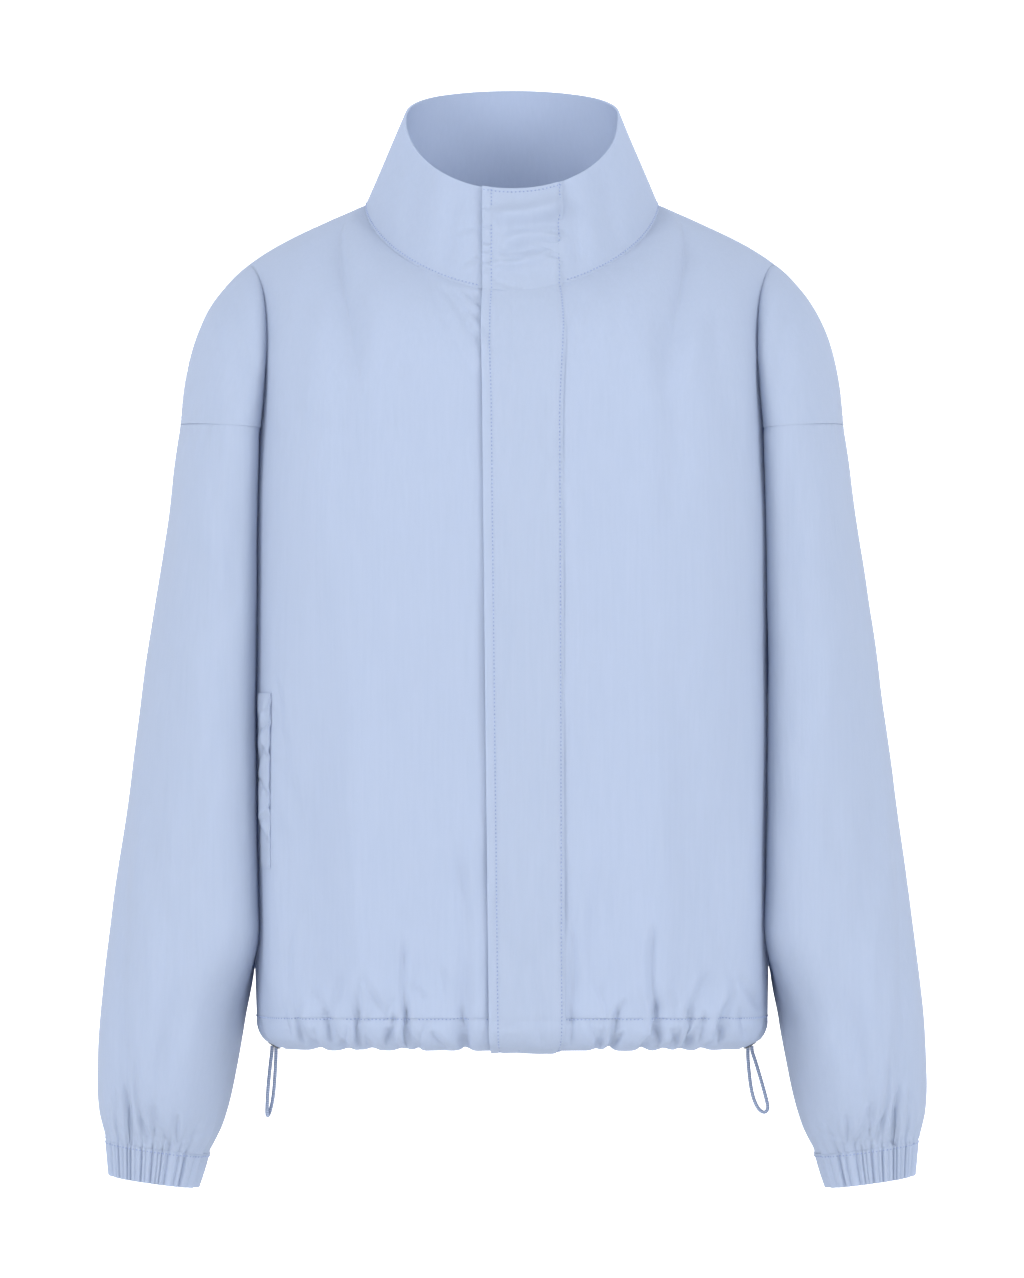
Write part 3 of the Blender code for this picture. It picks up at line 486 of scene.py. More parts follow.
CREASES_PLACKET_NECK = in_metres(Crease, (
    (-12, -14, 33, -6, 6.5, 5.4),
    (-6, -31, 33, -25, 5, 3.6),
    (-12, -44, 24, -40, 4.5, 2.4),
    (18.2, -30.6, 34.7, -35.5, 1.8, -1.2),
    (-14.8, -44.4, 7.2, -43, 1.8, -1.8),
    (-20.2, -8, -14.8, -8.7, 1, -1.2),
    (-20.2, -20.4, -14.8, -21.7, 1, -1.4),
    (-20.2, -32, -14.8, -33.4, 1, -1.4),
    (-20.2, -38.2, -14.8, -39.6, 1, -1.2),
    (-20.2, -45.1, -14.8, -47.1, 1, -1.4),
    (-20.2, -51.9, -14.8, -53.3, 1, -1),
    (23, -24.5, 34.7, -25.8, 1.4, -1.6),
    (25.1, -40.9, 34.7, -42.3, 1.4, -1.4),
    (-11.3, -23.8, 12.7, -27.2, 5, 1.2),
    (-13.4, -57.4, 5.8, -64.3, 3, -1.2),
))
CREASES_POCKET = in_metres(Crease, (
    (170, -378, 174.2, -394, 1.6, -1.6),
    (170, -378, 166.4, -386, 1.4, -1.4),
    (169, -348, 169.4, -378, 1.4, 1.4),
    (173, -356, 172, -372, 1.6, -1.2),
    (169, -404, 168, -440, 1.8, 1),
    (166, -360, 172.5, -369, 1.5, -1.5),
    (173.5, -399, 167, -411, 1.5, -1.5),
    (165, -418, 172.5, -427, 1.6, 1.4),
    (173.5, -432, 167, -443, 1.6, -1.3),
    (165.5, -344, 170, -354, 1.4, -1.3),
))

# Slow ripples of each cloth
Ripple = namedtuple("Ripple", "size depth seed")
RIPPLE_STRETCH = 3.0
BODY_RIPPLES = (Ripple(0.030, 0.0007, 3.0), Ripple(0.011, 0.00022, 8.0))
SLEEVE_RIPPLES = (Ripple(0.032, 0.0010, 8.0), Ripple(0.011, 0.00025, 13.0))
SLEEVE_RIGHT_SEED = 6.0
COLLAR_RIPPLES = (Ripple(0.026, 0.0008, 31.0),)
PLACKET_RIPPLES = (Ripple(0.020, 0.0006, 41.0), Ripple(0.007, 0.00025, 47.0))

# Seams and rows of stitches
WELD_DISTANCE = 0.00002
SEAM_DEPTH = 0.0006
SEAM_WIDTH = 0.0014
SEAM_LIP = 0.0003
UNDER_EDGE_DEPTH = 0.0007
UNDER_EDGE_WIDTH = 0.0016
SEAM_STILL = 0.0030
CUFF_SEAM_STILL = 0.0010
EDGE_STITCH_INSIDE = 0.0062
CLOSE_STITCH_INSIDE = 0.0021
PLACKET_SEWN_DEPTH = 0.0015
PLACKET_SEWN_WIDTH = 0.0030
PLACKET_ROW_DEPTH = 0.00035
WELT_SEAM_DEPTH = 0.0008
WELT_SEAM_WIDTH = 0.0016
COLLAR_STITCH_SHARE = 0.030
COLLAR_STITCH_FROM = 1.02
COLLAR_STITCH_STEPS = 90
CASING_STITCH_SHARE = 0.04
CASING_STITCH_STEPS = 120
CUFF_STITCH_DROP = 0.0022
CUFF_STITCH_STEPS = 240
STITCH_CURVE_STEP = 0.002
STITCH_SIDES = 5
StitchRing = namedtuple("StitchRing", "place size lift")
STITCH_RINGS = (
    StitchRing(-0.28, 0.3, -0.5),
    StitchRing(-0.14, 1.0, 0.3),
    StitchRing(0.14, 1.0, 0.3),
    StitchRing(0.28, 0.3, -0.5),
)

# Cloth: light let through, and thickness where it is folded double
CLOTH_TRANSLUCENCE = 0.36
DOUBLED_CLOTH = 0.0016
CASING_CLOTH = 0.0012

# Cells of each piece's grid, on the wearer's left
PanelCells = namedtuple("PanelCells", "chest underarm cap body_rows yoke_rows")
FRONT_CELLS = PanelCells((10, 54, 46), 10, 34, 160, 64)
BACK_CELLS = PanelCells((4, 36, 34), 10, 30, 130, 60)
SLEEVE_COLUMNS = (124, 54, 14)
SLEEVE_ROWS = 132
SLEEVE_ROWS_CROWD = 1.5
CUFF_COLUMNS = (260, 220, 40)
CUFF_ROWS = 16
COLLAR_COLUMNS = (16, 56)
COLLAR_ROWS = 44
PLACKET_COLUMNS = 26
PLACKET_HEM_ROWS = 19
PLACKET_NECK_ROWS = 60
CASING_FRONT_COLUMNS = 290
CASING_BACK_COLUMNS = 220
CASING_ROWS = 26
WELT_COLUMNS = 34
WELT_ROWS = 140
CORD_STEPS = 3
CORD_BEVEL = 4


# Small tools
def linear(hex_colour):
    """Turn an sRGB hex value into a linear colour."""
    parts = [int(hex_colour[place:place + 2], 16) / 255.0 for place in (1, 3, 5)]
    return tuple(part / 12.92 if part <= 0.04045 else ((part + 0.055) / 1.055) ** 2.4 for part in parts)


def mix(low, high, share):
    return low + (high - low) * share


def ease(share):
    share = np.clip(share, 0.0, 1.0)
    return share * share * (3.0 - 2.0 * share)


def power(value, exponent):
    return np.sign(value) * np.abs(value) ** exponent


def bump(distance, width):
    return np.exp(-((distance / width) ** 2))


def bezier(points, share):
    a, b, c, d = points
    rest = 1.0 - share
    return a * rest**3 + b * (3 * rest**2 * share) + c * (3 * rest * share**2) + d * share**3


def vector(x, y, z):
    return np.stack(np.broadcast_arrays(x, y, z), axis=-1).astype(float)


def between(rows, place):
    """Read a table smoothly at places on its first column."""
    data = np.array(rows)
    keys = data[:, 0]
    place = np.clip(place, keys[0], keys[-1])
    index = np.clip(np.searchsorted(keys, place, side="right") - 1, 0, len(keys) - 2)
    before = np.maximum(np.arange(len(keys)) - 1, 0)
    after = np.minimum(np.arange(len(keys)) + 1, len(keys) - 1)
    slopes = (data[after] - data[before]) / (keys[after] - keys[before])[:, None]
    span = keys[index + 1] - keys[index]
    share = (place - keys[index]) / span
    values = [place]
    for column in range(1, data.shape[1]):
        low = data[index, column]
        high = data[index + 1, column]
        bend_low = low + slopes[index, column] * span / 3.0
        bend_high = high - slopes[index + 1, column] * span / 3.0
        values.append(bezier((low, bend_low, bend_high, high), share))
    return type(rows[0])(*values)


def spread(stops, counts):
    """Return places that divide each span between stops into its count of cells."""
    places = [np.array([stops[0]])]
    for low, high, count in zip(stops, stops[1:], counts):
        places.append(np.linspace(low, high, count + 1)[1:])
    return np.concatenate(places)


# Forms of the garment; face is 1 for the front and -1 for the back
def torso_depth(ring, face):
    return ring.front_depth if face > 0 else ring.back_depth


def torso_point(height, angle, face, inset=0.0):
    ring = between(TORSO, height)
    shape = 2.0 / TORSO_SQUARENESS
    x = (ring.half_width - inset) * power(np.sin(angle), shape)
    y = TORSO_MIDDLE_Y - face * (torso_depth(ring, face) - inset) * power(np.cos(angle), shape)
    return vector(x, y, height)


def angle_at_x(height, x):
    ring = between(TORSO, height)
    return np.arcsin((x / ring.half_width) ** (TORSO_SQUARENESS / 2.0))


def crease_angle(height, face):
    ring = between(TORSO, height)
    reach = CREASE_FRONT_Y if face > 0 else CREASE_BACK_Y
    return np.arccos((reach / torso_depth(ring, face)) ** (TORSO_SQUARENESS / 2.0))


def hem_z(angle, face):
    return HEM_Z + HEM_FRONT_RISE * (1.0 + face * np.cos(angle)) / 2.0


def placket_x(side, height):
    share = (height - HEM_Z) / (NECK_FRONT_Z - HEM_Z)
    if side > 0:
        return mix(PLACKET_LEFT_HEM_X, PLACKET_LEFT_NECK_X, share)
    return mix(PLACKET_RIGHT_HEM_X, PLACKET_RIGHT_NECK_X, share)


def neck_turn(side, column, half_width):
    """Return the turn round the neck or collar, from the midline, at columns up to 2."""
    edge = placket_x(side, CHEST_Z)
    under = np.arcsin(edge * np.minimum(column, 1.0) / half_width)
    beyond = mix(np.arcsin(edge / half_width), math.pi / 2.0, column - 1.0)
    return np.where(column <= 1.0, under, beyond)


def column_angle(side, face, column, height):
    """Turn column places into angles: 0 midline, 1 placket edge, 2 neck, 3 crease, 4 side."""
    edge = angle_at_x(height, placket_x(side, height))
    neck = angle_at_x(CHEST_Z, NECK_HALF_WIDTH)
    crease = crease_angle(height, face)
    under = angle_at_x(height, placket_x(side, height) * np.clip(column, 0.0, 1.0))
    angle = np.where(column <= 1.0, under, mix(edge, neck, column - 1.0))
    angle = np.where(column > 2.0, mix(neck, crease, column - 2.0), angle)
    return np.where(column > 3.0, mix(crease, math.pi / 2.0, column - 3.0), angle)


def drape_offset(drapes, angle, height):
    offset = 0.0
    for drape in drapes:
        fade = ease((drape.high - height) / (drape.high - drape.low) * 2.0)
        offset = offset + drape.depth * fade * bump(np.degrees(angle) - drape.angle, drape.width)
    return offset


def body_point(side, face, column, share):
    """Return points below the chest line; share runs from the hem seam up."""
    height = mix(HEM_Z, CHEST_Z, share)
    angle = column_angle(side, face, column, height)
    top = CHEST_Z - UNDERARM_DIP * ease(column - 3.0)
    height = mix(hem_z(angle, face), top, share)
    angle = column_angle(side, face, column, height)
    drapes = FRONT_DRAPES if face > 0 else BACK_DRAPES
    fade = ease(share / HEM_STILL_SHARE)
    return torso_point(height, angle, face, -fade * drape_offset(drapes, angle, height))


def neck_point(turn, face):
    part = np.clip(np.sin(turn), 0.0, 1.0)
    across = np.sqrt(np.maximum(1.0 - part * part, 0.0))
    x = NECK_HALF_WIDTH * part
    if face > 0:
        level = np.maximum(1.0 - part**NECK_ROUNDNESS, 0.0) ** (1.0 / NECK_ROUNDNESS)
        return vector(x, NECK_MIDDLE_Y - NECK_FRONT_REACH * across, NECK_FRONT_Z * level)
    return vector(x, NECK_MIDDLE_Y + NECK_BACK_REACH * across, NECK_BACK_Z * across)


def ridge_point(share):
    x = bezier([point[0] for point in RIDGE], share)
    z = bezier([point[1] for point in RIDGE], share)
    return vector(x, mix(NECK_MIDDLE_Y, RIDGE_OUTER_Y, share), z)


def yoke_point(side, face, column, share):
    """Return points above the chest line, between the midline and the armpit crease."""
    start = torso_point(CHEST_Z, column_angle(side, face, column, CHEST_Z), face)
    on_neck = column <= 2.0
    turn = neck_turn(side, np.minimum(column, 2.0), NECK_HALF_WIDTH)
    ridge = ridge_point(CREASE_AT_RIDGE * np.maximum(column - 2.0, 0.0))
    end = np.where(on_neck[..., None], neck_point(turn, face), ridge)
    turn = np.where(on_neck, turn, math.pi / 2.0 * (3.0 - column))
    part = np.where(on_neck, np.sin(turn), 1.0)
    slope = np.radians(mix(*YOKE_SLOPES, part))
    reach = mix(*YOKE_ARRIVES_OVER, part)
    level = reach * np.cos(slope)
    aside = turn * NECK_FAN
    leaves = vector(0.0, 0.0, mix(*YOKE_LEAVES_BY, part))
    arrives = vector(level * np.sin(aside), -face * level * np.cos(aside), -reach * np.sin(slope))
    crease = (np.maximum(column - 2.0, 0.0) ** 2)[..., None]
    turned_face = np.array((1.0, -face, 1.0))
    leaves = mix(leaves, np.array(CREASE_LEAVES) * turned_face, crease)
    arrives = mix(arrives, np.array(CREASE_ARRIVES) * turned_face, crease)
    return bezier((start, start + leaves, end + arrives, end), share[..., None])


def arc_point(crease, outer, face, pushes, place):
    """Return points on the arc that bulges from an armpit crease to the outer arm."""
    push_in, push_out = pushes
    bend_in = crease + vector(SLEEVE_LEAN * push_in, -face * push_in, 0.0)
    bend_out = outer + vector(0.0, -face * push_out, 0.0)
    return bezier((crease, bend_in, bend_out, outer), place[..., None])


def cap_point(side, face, place, share):
    """Return points on the drop-shoulder cap outside the crease."""
    crease = yoke_point(side, face, np.full_like(share, 3.0), share)
    outer = ridge_point(mix(1.0, CREASE_AT_RIDGE, share))
    full = CAP_FULLNESS * SLEEVE[-1].half_depth
    rest = 1.0 - share
    pushes = ((full - CREASE_FRONT_Y + SLEEVE_PUFF) * rest, full * rest**CAP_OUTER_POWER)
    return arc_point(crease, outer, face, pushes, place)


def sleeve_section(ring, turn):
    """Return a ring's free oval at turns: 0-1 front, 1-2 back, 2-3 inner arc."""
    inner = math.radians(SLEEVE_INNER_TURN)
    angle = np.where(turn <= 1.0, mix(inner, 0.0, turn), mix(0.0, -inner, turn - 1.0))
    angle = np.where(turn > 2.0, mix(-inner, inner - 2.0 * math.pi, turn - 2.0), angle)
    middle = (ring.inner_x + ring.outer_x) / 2.0
    half_width = (ring.outer_x - ring.inner_x) / 2.0
    x = middle + half_width * power(np.cos(angle), SLEEVE_ROUNDNESS)
    y = ring.middle_y - ring.half_depth * power(np.sin(angle), SLEEVE_ROUNDNESS)
    return vector(x, y, ring.height)


def beside_torso(ring, turn, height):
    """Return a ring's points where the sleeve hangs against the torso."""
    outer = vector(ring.outer_x, ring.middle_y, height)
    high, low = SLEEVE_OFF_FROM
    clear = mix(SLEEVE_OFF_ARMHOLE, SLEEVE_OFF_POCKET, ease((height - high) / (low - high)))
    off = vector(clear, 0.0, 0.0)
    full = CAP_FULLNESS * ring.half_depth
    pushes = (full - CREASE_FRONT_Y + SLEEVE_PUFF, full)
    front_angle = crease_angle(height, 1)
    back_angle = crease_angle(height, -1)
    front = arc_point(torso_point(height, front_angle, 1) + off, outer, 1, pushes, turn)
    back = arc_point(torso_point(height, back_angle, -1) + off, outer, -1, pushes, 2.0 - turn)
    place = (turn - 2.0) * 2.0
    behind = torso_point(height, mix(back_angle, math.pi / 2.0, np.clip(place, 0.0, 1.0)), -1) + off
    before = torso_point(height, mix(math.pi / 2.0, front_angle, np.clip(place - 1.0, 0.0, 1.0)), 1) + off
    turn = turn[..., None]
    inner = np.where(place[..., None] <= 1.0, behind, before)
    return np.where(turn <= 1.0, front, np.where(turn <= 2.0, back, inner))


def armhole_z(turn):
    outer = RIDGE[-1][1]
    inner = CHEST_Z - UNDERARM_DIP * ease(1.0 - np.abs(turn - SLEEVE_INNER_MIDDLE) * 2.0)
    arc = np.where(turn <= 1.0, mix(CHEST_Z, outer, turn), mix(outer, CHEST_Z, turn - 1.0))
    return np.where(turn <= 2.0, arc, inner)


def cuff_slope_offset(ring, x):
    share = ease((CUFF_SLOPE_FROM - ring.height) / (CUFF_SLOPE_FROM - SLEEVE[0].height))
    return CUFF_SLOPE * share * (x - (ring.inner_x + ring.outer_x) / 2.0)


def outward_from(ring, points):
    middle = vector((ring.inner_x + ring.outer_x) / 2.0, ring.middle_y, 0.0)
    outward = (points - middle) * np.array((1.0, 1.0, 0.0))
    return outward / np.linalg.norm(outward, axis=-1, keepdims=True)


def gather_phase(ring, points, turn):
    """Count gathers round a cuff from its inner edge, crowded towards the outer edge."""
    out = (points[..., 0] - ring.inner_x) / (ring.outer_x - ring.inner_x)
    front = turn <= 1.0
    round_share = np.where(front, turn, np.clip(2.0 - turn, 0.0, 1.0))
    out = mix(np.clip(out, 0.0, 1.0), round_share, CUFF_ROUND_SHARE)
    counts = (0.0, CUFF_GATHERS_INNER, CUFF_GATHERS_INNER + CUFF_GATHERS_OUTER)
    count = np.interp(out, (0.0, CUFF_CROWDED_FROM, 1.0), counts)
    return np.where(front, count, 2.0 * counts[-1] - count)


def wave_at(wave, count):
    return wave.size * np.sin(count * wave.turns + wave.start)


def gather_valleys(count):
    """Return the depth of uneven gathers, 0 on their crests and 1 in the deepest valleys."""
    uneven = count + sum(wave_at(wave, count) for wave in GATHER_SHIFTS)
    size = GATHER_SIZE + wave_at(GATHER_SIZE_WAVE, count)
    return (1.0 - np.abs(np.cos(math.pi * uneven)) ** GATHER_SHARPNESS) * size


def sleeve_point(turn, share):
    """Return points on the wearer's left sleeve; share runs from the cuff seam up."""
    height = mix(SLEEVE[0].height, armhole_z(turn), share)
    ring = between(SLEEVE, height)
    low, high = SLEEVE_LEAVES_TORSO
    held = beside_torso(ring, turn, np.maximum(height, HEM_Z))
    free = sleeve_section(ring, turn)
    points = mix(free, held, ease((height - low) / (high - low))[..., None])
    rise = height - SLEEVE[0].height
    offset = 0.0
    for fold in SLEEVE_FOLDS:
        fade = ease(1.0 - rise / fold.reach) * ease(rise / SLEEVE_FOLD_START + SLEEVE_FOLD_AT_SEAM)
        offset = offset + SLEEVE_FOLD_SHARE * fold.depth * fade * bump(turn - fold.turn, fold.width)
    count = gather_phase(ring, free, turn)
    reach = mix(*SLEEVE_GATHER_REACH, 0.5 + 0.5 * np.sin(count * SLEEVE_GATHER_TURNS))
    offset = offset - SLEEVE_GATHER_DEPTH * gather_valleys(count) * np.exp(-rise / reach)
    points = points + outward_from(ring, points) * offset[..., None]
    points[..., 2] = height + cuff_slope_offset(ring, points[..., 0])
    return points


def cuff_point(turn, height, gather_depth):
    ring = between(CUFF, height)
    points = sleeve_section(ring, turn)
    count = gather_phase(ring, points, turn)
    lean = CUFF_GATHER_SWAY * np.sin(CUFF_GATHER_LEAN * (height - CUFF[0].height) + count)
    full = mix(CUFF_SEAM_GATHERED, 1.0, ease((CUFF[-1].height - height) / CUFF_SEAM_FADE))
    depth = gather_depth * full * gather_valleys(count + lean * (1.0 - full))
    points = points - outward_from(ring, points) * depth[..., None]
    points[..., 2] = height + cuff_slope_offset(ring, points[..., 0])
    return points


def collar_point(side, face, column, share):
    """Return collar points over a panel's neck columns: 0 midline, 1 placket edge, 2 side."""
    half_width = mix(NECK_HALF_WIDTH, COLLAR_TOP_HALF_WIDTH, share)
    turn = neck_turn(side, column, half_width)
    across = np.maximum(np.cos(turn), 0.0)
    if face > 0:
        top_y = COLLAR_TOP_MIDDLE_Y - COLLAR_TOP_FRONT_REACH * across
        top_z = COLLAR_TOP_SIDE_Z - COLLAR_TOP_FRONT_DROP * across
    else:
        top_y = COLLAR_TOP_MIDDLE_Y + COLLAR_TOP_BACK_REACH * across
        top_z = COLLAR_TOP_SIDE_Z + COLLAR_TOP_BACK_RISE * across**COLLAR_TOP_BACK_FLATNESS
    top = vector(COLLAR_TOP_HALF_WIDTH * np.sin(turn), top_y, top_z)
    return mix(neck_point(turn, face), top, share[..., None])


def hem_ruler(face):
    """Return angles round half the hem and their distances along it from the midline."""
    angles = np.linspace(0.0, math.pi / 2.0, RULER_STEPS + 1)
    points = torso_point(np.full_like(angles, HEM_Z), angles, face)
    runs = np.linalg.norm(np.diff(points, axis=0), axis=1)
    return angles, np.concatenate(([0.0], np.cumsum(runs)))


def casing_point(face, along, share, gathers):
    """Return points on the hem casing; share runs from the hem seam down."""
    angles, marks = hem_ruler(face)
    angle = np.interp(along, marks, angles)
    steps = np.linspace(0.0, 1.0, len(CASING))
    profile = between([CasingProfile(step, *row) for step, row in zip(steps, CASING)], share)
    offset = np.zeros_like(angle)
    for gather in gathers:
        lean = gather.along + GATHER_LEAN * math.sin(GATHER_TURNS * gather.along) * (1.0 - share)
        offset += gather.depth * bump(along - lean, gather.width)
    eased = ease((share - GATHER_EASES_FROM) / (1.0 - GATHER_EASES_FROM))
    offset = offset * share**GATHER_DEEPENS * (1.0 - GATHER_EASED * eased)
    points = torso_point(np.full_like(angle, HEM_Z), angle, face, profile.inset + offset)
    points[..., 2] = hem_z(angle, face) - profile.drop + GATHER_LIFT * offset
    return points


# Grids of points become cloth
def mirrored(grid):
    return grid[:, ::-1] * MIRROR


def turned(grid):
    return grid[:, ::-1]


def mesh_from_grids(name, grids, closed=False):
    """Join grids of points into one mesh, welded where they meet."""
    points = []
    faces = []
    start = 0
    for grid in grids:
        rows, columns = grid.shape[:2]
        index = start + np.arange(rows * columns).reshape(rows, columns)
        if closed:
            index = np.concatenate((index, index[:, :1]), axis=1)
        quads = np.stack((index[:-1, :-1], index[:-1, 1:], index[1:, 1:], index[1:, :-1]), axis=-1)
        points.append(grid.reshape(-1, 3))
        faces.append(quads.reshape(-1, 4))
        start += rows * columns
    points = np.concatenate(points)
    keys = np.round(points / WELD_DISTANCE).astype(np.int64)
    first, place = np.unique(keys, axis=0, return_index=True, return_inverse=True)[1:]
    place = place.reshape(-1)
    corners = place[np.concatenate(faces)]
    tidy = []
    for corner in corners.tolist():
        ring = list(dict.fromkeys(corner))
        if len(ring) > 2:
            tidy.append(ring)
    mesh = bpy.data.meshes.new(name)
    mesh.from_pydata(points[first].tolist(), [], tidy)
    mesh.update()
    return mesh


def vertex_values(mesh, attribute="co"):
    """Read the positions or normals of a mesh's vertices."""
    values = np.empty(len(mesh.vertices) * 3)
    mesh.vertices.foreach_get(attribute, values)
    return values.reshape(-1, 3)


def crease_offset(points, creases, side=0):
    """Add up the creases at points, by distance from each crease's line in the x-z plane."""
    x = np.abs(points[:, 0]) if side == 0 else points[:, 0] * side
    z = points[:, 2]
    total = np.zeros(len(points))
    for crease in creases:
        run_x = crease.x_low - crease.x_top
        run_z = crease.z_low - crease.z_top
        length = math.hypot(run_x, run_z)
        along = ((x - crease.x_top) * run_x + (z - crease.z_top) * run_z) / (length * length)
        bent = CREASE_BOW * length * math.sin(CREASE_TURNS * crease.x_top)
        bow = bent * np.sin(math.pi * np.clip(along, 0.0, 1.0))
        across = ((x - crease.x_top) * run_z - (z - crease.z_top) * run_x) / length - bow
        into = ease((along + CREASE_TAPER) / (2.0 * CREASE_TAPER))
        fade = into * ease((1.0 + CREASE_TAPER - along) / (2.0 * CREASE_TAPER))
        ridge = bump(across - CREASE_RIDGE_AT * crease.width, CREASE_RIDGE_WIDTH * crease.width)
        valley = bump(across, crease.width)
        if crease.width < CREASE_SHARP_BELOW:
            valley = np.exp(-np.abs(across) / (CREASE_SHARPNESS * crease.width))
        total += crease.depth * fade * (valley - CREASE_RIDGE * ridge)
    return total


def rippled(points, ripples, shift=0.0):
    """Return slow uneven ripples over points, stretched down the cloth."""
    total = np.zeros(len(points))
    for ripple in ripples:
        size = ripple.size
        for index, (x, y, z) in enumerate(points.tolist()):
            place = Vector((x / size + ripple.seed + shift, y / size, z / (size * RIPPLE_STRETCH)))
            total[index] += ripple.depth * noise.noise(place)
    return total


def border_distance(points, curve):
    """Return how far points lie from a curve of points."""
    best = np.full(len(points), 1.0)
    for place in curve.reshape(-1, 3)[::2]:
        best = np.minimum(best, np.linalg.norm(points - place, axis=1))
    return best


def nearest(points, curves):
    return np.min([border_distance(points, curve) for curve in curves], axis=0)


def groove(points, curves, depth=SEAM_DEPTH, width=SEAM_WIDTH):
    """Draw cloth in along lines of sewing."""
    return -depth * bump(nearest(points, curves), width)


def still_at(points, curves, offset, width=SEAM_STILL):
    """Fade an offset out towards seams, so that neighbouring pieces meet."""
    return offset * (1.0 - bump(nearest(points, curves), width))


def hem_directions(mesh):
    """Return a mesh's normals, turned level at the hem seam, so that panel and casing move alike."""
    points = vertex_values(mesh)
    ring = between(TORSO, np.full(len(points), HEM_Z))
    y = points[:, 1] - TORSO_MIDDLE_Y
    depth = np.where(y < 0.0, ring.front_depth, ring.back_depth)
    steepness = TORSO_SQUARENESS - 1.0
    level_x = power(points[:, 0] / ring.half_width, steepness) / ring.half_width
    level_y = power(y / depth, steepness) / depth
    level = vector(level_x, level_y, 0.0)
    level /= np.linalg.norm(level, axis=1, keepdims=True)
    angle = np.arccos(np.clip(np.abs(y / depth), 0.0, 1.0) ** (TORSO_SQUARENESS / 2.0))
    near = bump(points[:, 2] - hem_z(angle, -np.sign(y)), HEM_LEVEL_OVER)
    return mix(vertex_values(mesh, "normal"), level, near[:, None])


def displace(mesh, offset, directions=None):
    if directions is None:
        directions = vertex_values(mesh, "normal")
    moved = vertex_values(mesh) + directions * np.asarray(offset)[:, None]
    mesh.vertices.foreach_set("co", moved.reshape(-1))
    mesh.update()


def crisp_borders(mesh):
    """Keep cut edges sharp, so that the smooth cloth doesn't darken beside them."""
    edges = np.empty(len(mesh.loops), dtype=np.int32)
    mesh.loops.foreach_get("edge_index", edges)
    uses = np.bincount(edges, minlength=len(mesh.edges))
    mesh.edges.foreach_set("use_edge_sharp", uses == 1)


def add_piece(name, mesh, material, nodes, thickness=0.0):
    """Make a mesh into a piece that rides with the garment and stands for its nodes."""
    mesh.shade_smooth()
    crisp_borders(mesh)
    piece = bpy.data.objects.new(name, mesh)
    bpy.context.scene.collection.objects.link(piece)
    piece.data.materials.append(material)
    if thickness:
        wall = piece.modifiers.new("cloth", "SOLIDIFY")
        wall.thickness = thickness
        wall.offset = -1.0
    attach(piece, BODY)
    if nodes:
        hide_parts(*nodes)
    return piece


# Materials
def add_node(tree, kind, settings=None, links=None):
    """Add a node, set its properties and sockets, and link its inputs."""
    node = tree.nodes.new(kind)
    for name, value in (settings or {}).items():
        if name in node.inputs:
            node.inputs[name].default_value = value
        else:
            setattr(node, name, value)
    for name, source in (links or {}).items():
        tree.links.new(source, node.inputs[name])
    return node


def new_material(name):
    material = bpy.data.materials.new(name)
    material.use_nodes = True
    return material, material.node_tree, material.node_tree.nodes["Principled BSDF"]


def mixed_tones(tree, shader, base, pale, pattern):
    """Colour a shader between two tones by a pattern."""
    tones = {"data_type": "RGBA", "A": (*base, 1.0), "B": (*pale, 1.0)}
    tone = add_node(tree, "ShaderNodeMix", tones, {"Factor": pattern.outputs["Fac"]})
    tree.links.new(tone.outputs["Result"], shader.inputs["Base Color"])


def woven_nylon(name, base, pale):
    """Light plain-woven nylon with slubby warp threads, matt with a faint dry sheen."""
    material, tree, shader = new_material(name)
    place = add_node(tree, "ShaderNodeTexCoord").outputs["Object"]
    # Warp slubs run down the cloth, about 2 mm across and 60 mm long
    stretched = add_node(tree, "ShaderNodeMapping", {"Scale": (500.0, 500.0, 16.0)}, {"Vector": place})
    slubs = add_node(
        tree, "ShaderNodeTexNoise", {"Scale": 1.0, "Detail": 3.0, "Roughness": 0.6},
        {"Vector": stretched.outputs["Vector"]},
    )
    # Threads are about 0.2 mm apart, drawn at 0.9 mm so that the render shows them
    weave = add_node(
        tree, "ShaderNodeTexNoise", {"Scale": 1100.0, "Detail": 2.0, "Roughness": 0.7}, {"Vector": place}
    )
    # Rumples are soft dents about 14 mm across
    long_way = add_node(tree, "ShaderNodeMapping", {"Scale": (70.0, 70.0, 22.0)}, {"Vector": place})
    rumple = add_node(
        tree, "ShaderNodeTexNoise", {"Scale": 1.0, "Detail": 4.0, "Roughness": 0.55},
        {"Vector": long_way.outputs["Vector"]},
    )
    rumpled = add_node(
        tree, "ShaderNodeBump", {"Strength": 0.5, "Distance": 0.0018}, {"Height": rumple.outputs["Fac"]}
    )
    slubbed = add_node(
        tree, "ShaderNodeBump", {"Strength": 0.25, "Distance": 0.0004},
        {"Height": slubs.outputs["Fac"], "Normal": rumpled.outputs["Normal"]},
    )
    woven = add_node(
        tree, "ShaderNodeBump", {"Strength": 0.22, "Distance": 0.0002},
        {"Height": weave.outputs["Fac"], "Normal": slubbed.outputs["Normal"]},
    )
    mixed_tones(tree, shader, base, pale, slubs)
    tree.links.new(woven.outputs["Normal"], shader.inputs["Normal"])
    # Thin nylon lets some light through, which lightens the inside of the collar
    lit_through = add_node(tree, "ShaderNodeBsdfTranslucent", {"Color": (*pale, 1.0)})
    cloth = add_node(tree, "ShaderNodeMixShader", {"Fac": CLOTH_TRANSLUCENCE})
    tree.links.new(shader.outputs["BSDF"], cloth.inputs[1])
    tree.links.new(lit_through.outputs["BSDF"], cloth.inputs[2])
    tree.links.new(cloth.outputs["Shader"], tree.nodes["Material Output"].inputs["Surface"])
    shader.inputs["Roughness"].default_value = 0.78
    shader.inputs["IOR"].default_value = 1.53
    shader.inputs["Specular IOR Level"].default_value = 0.25
    shader.inputs["Sheen Weight"].default_value = 0.05
    shader.inputs["Sheen Roughness"].default_value = 0.5
    return material


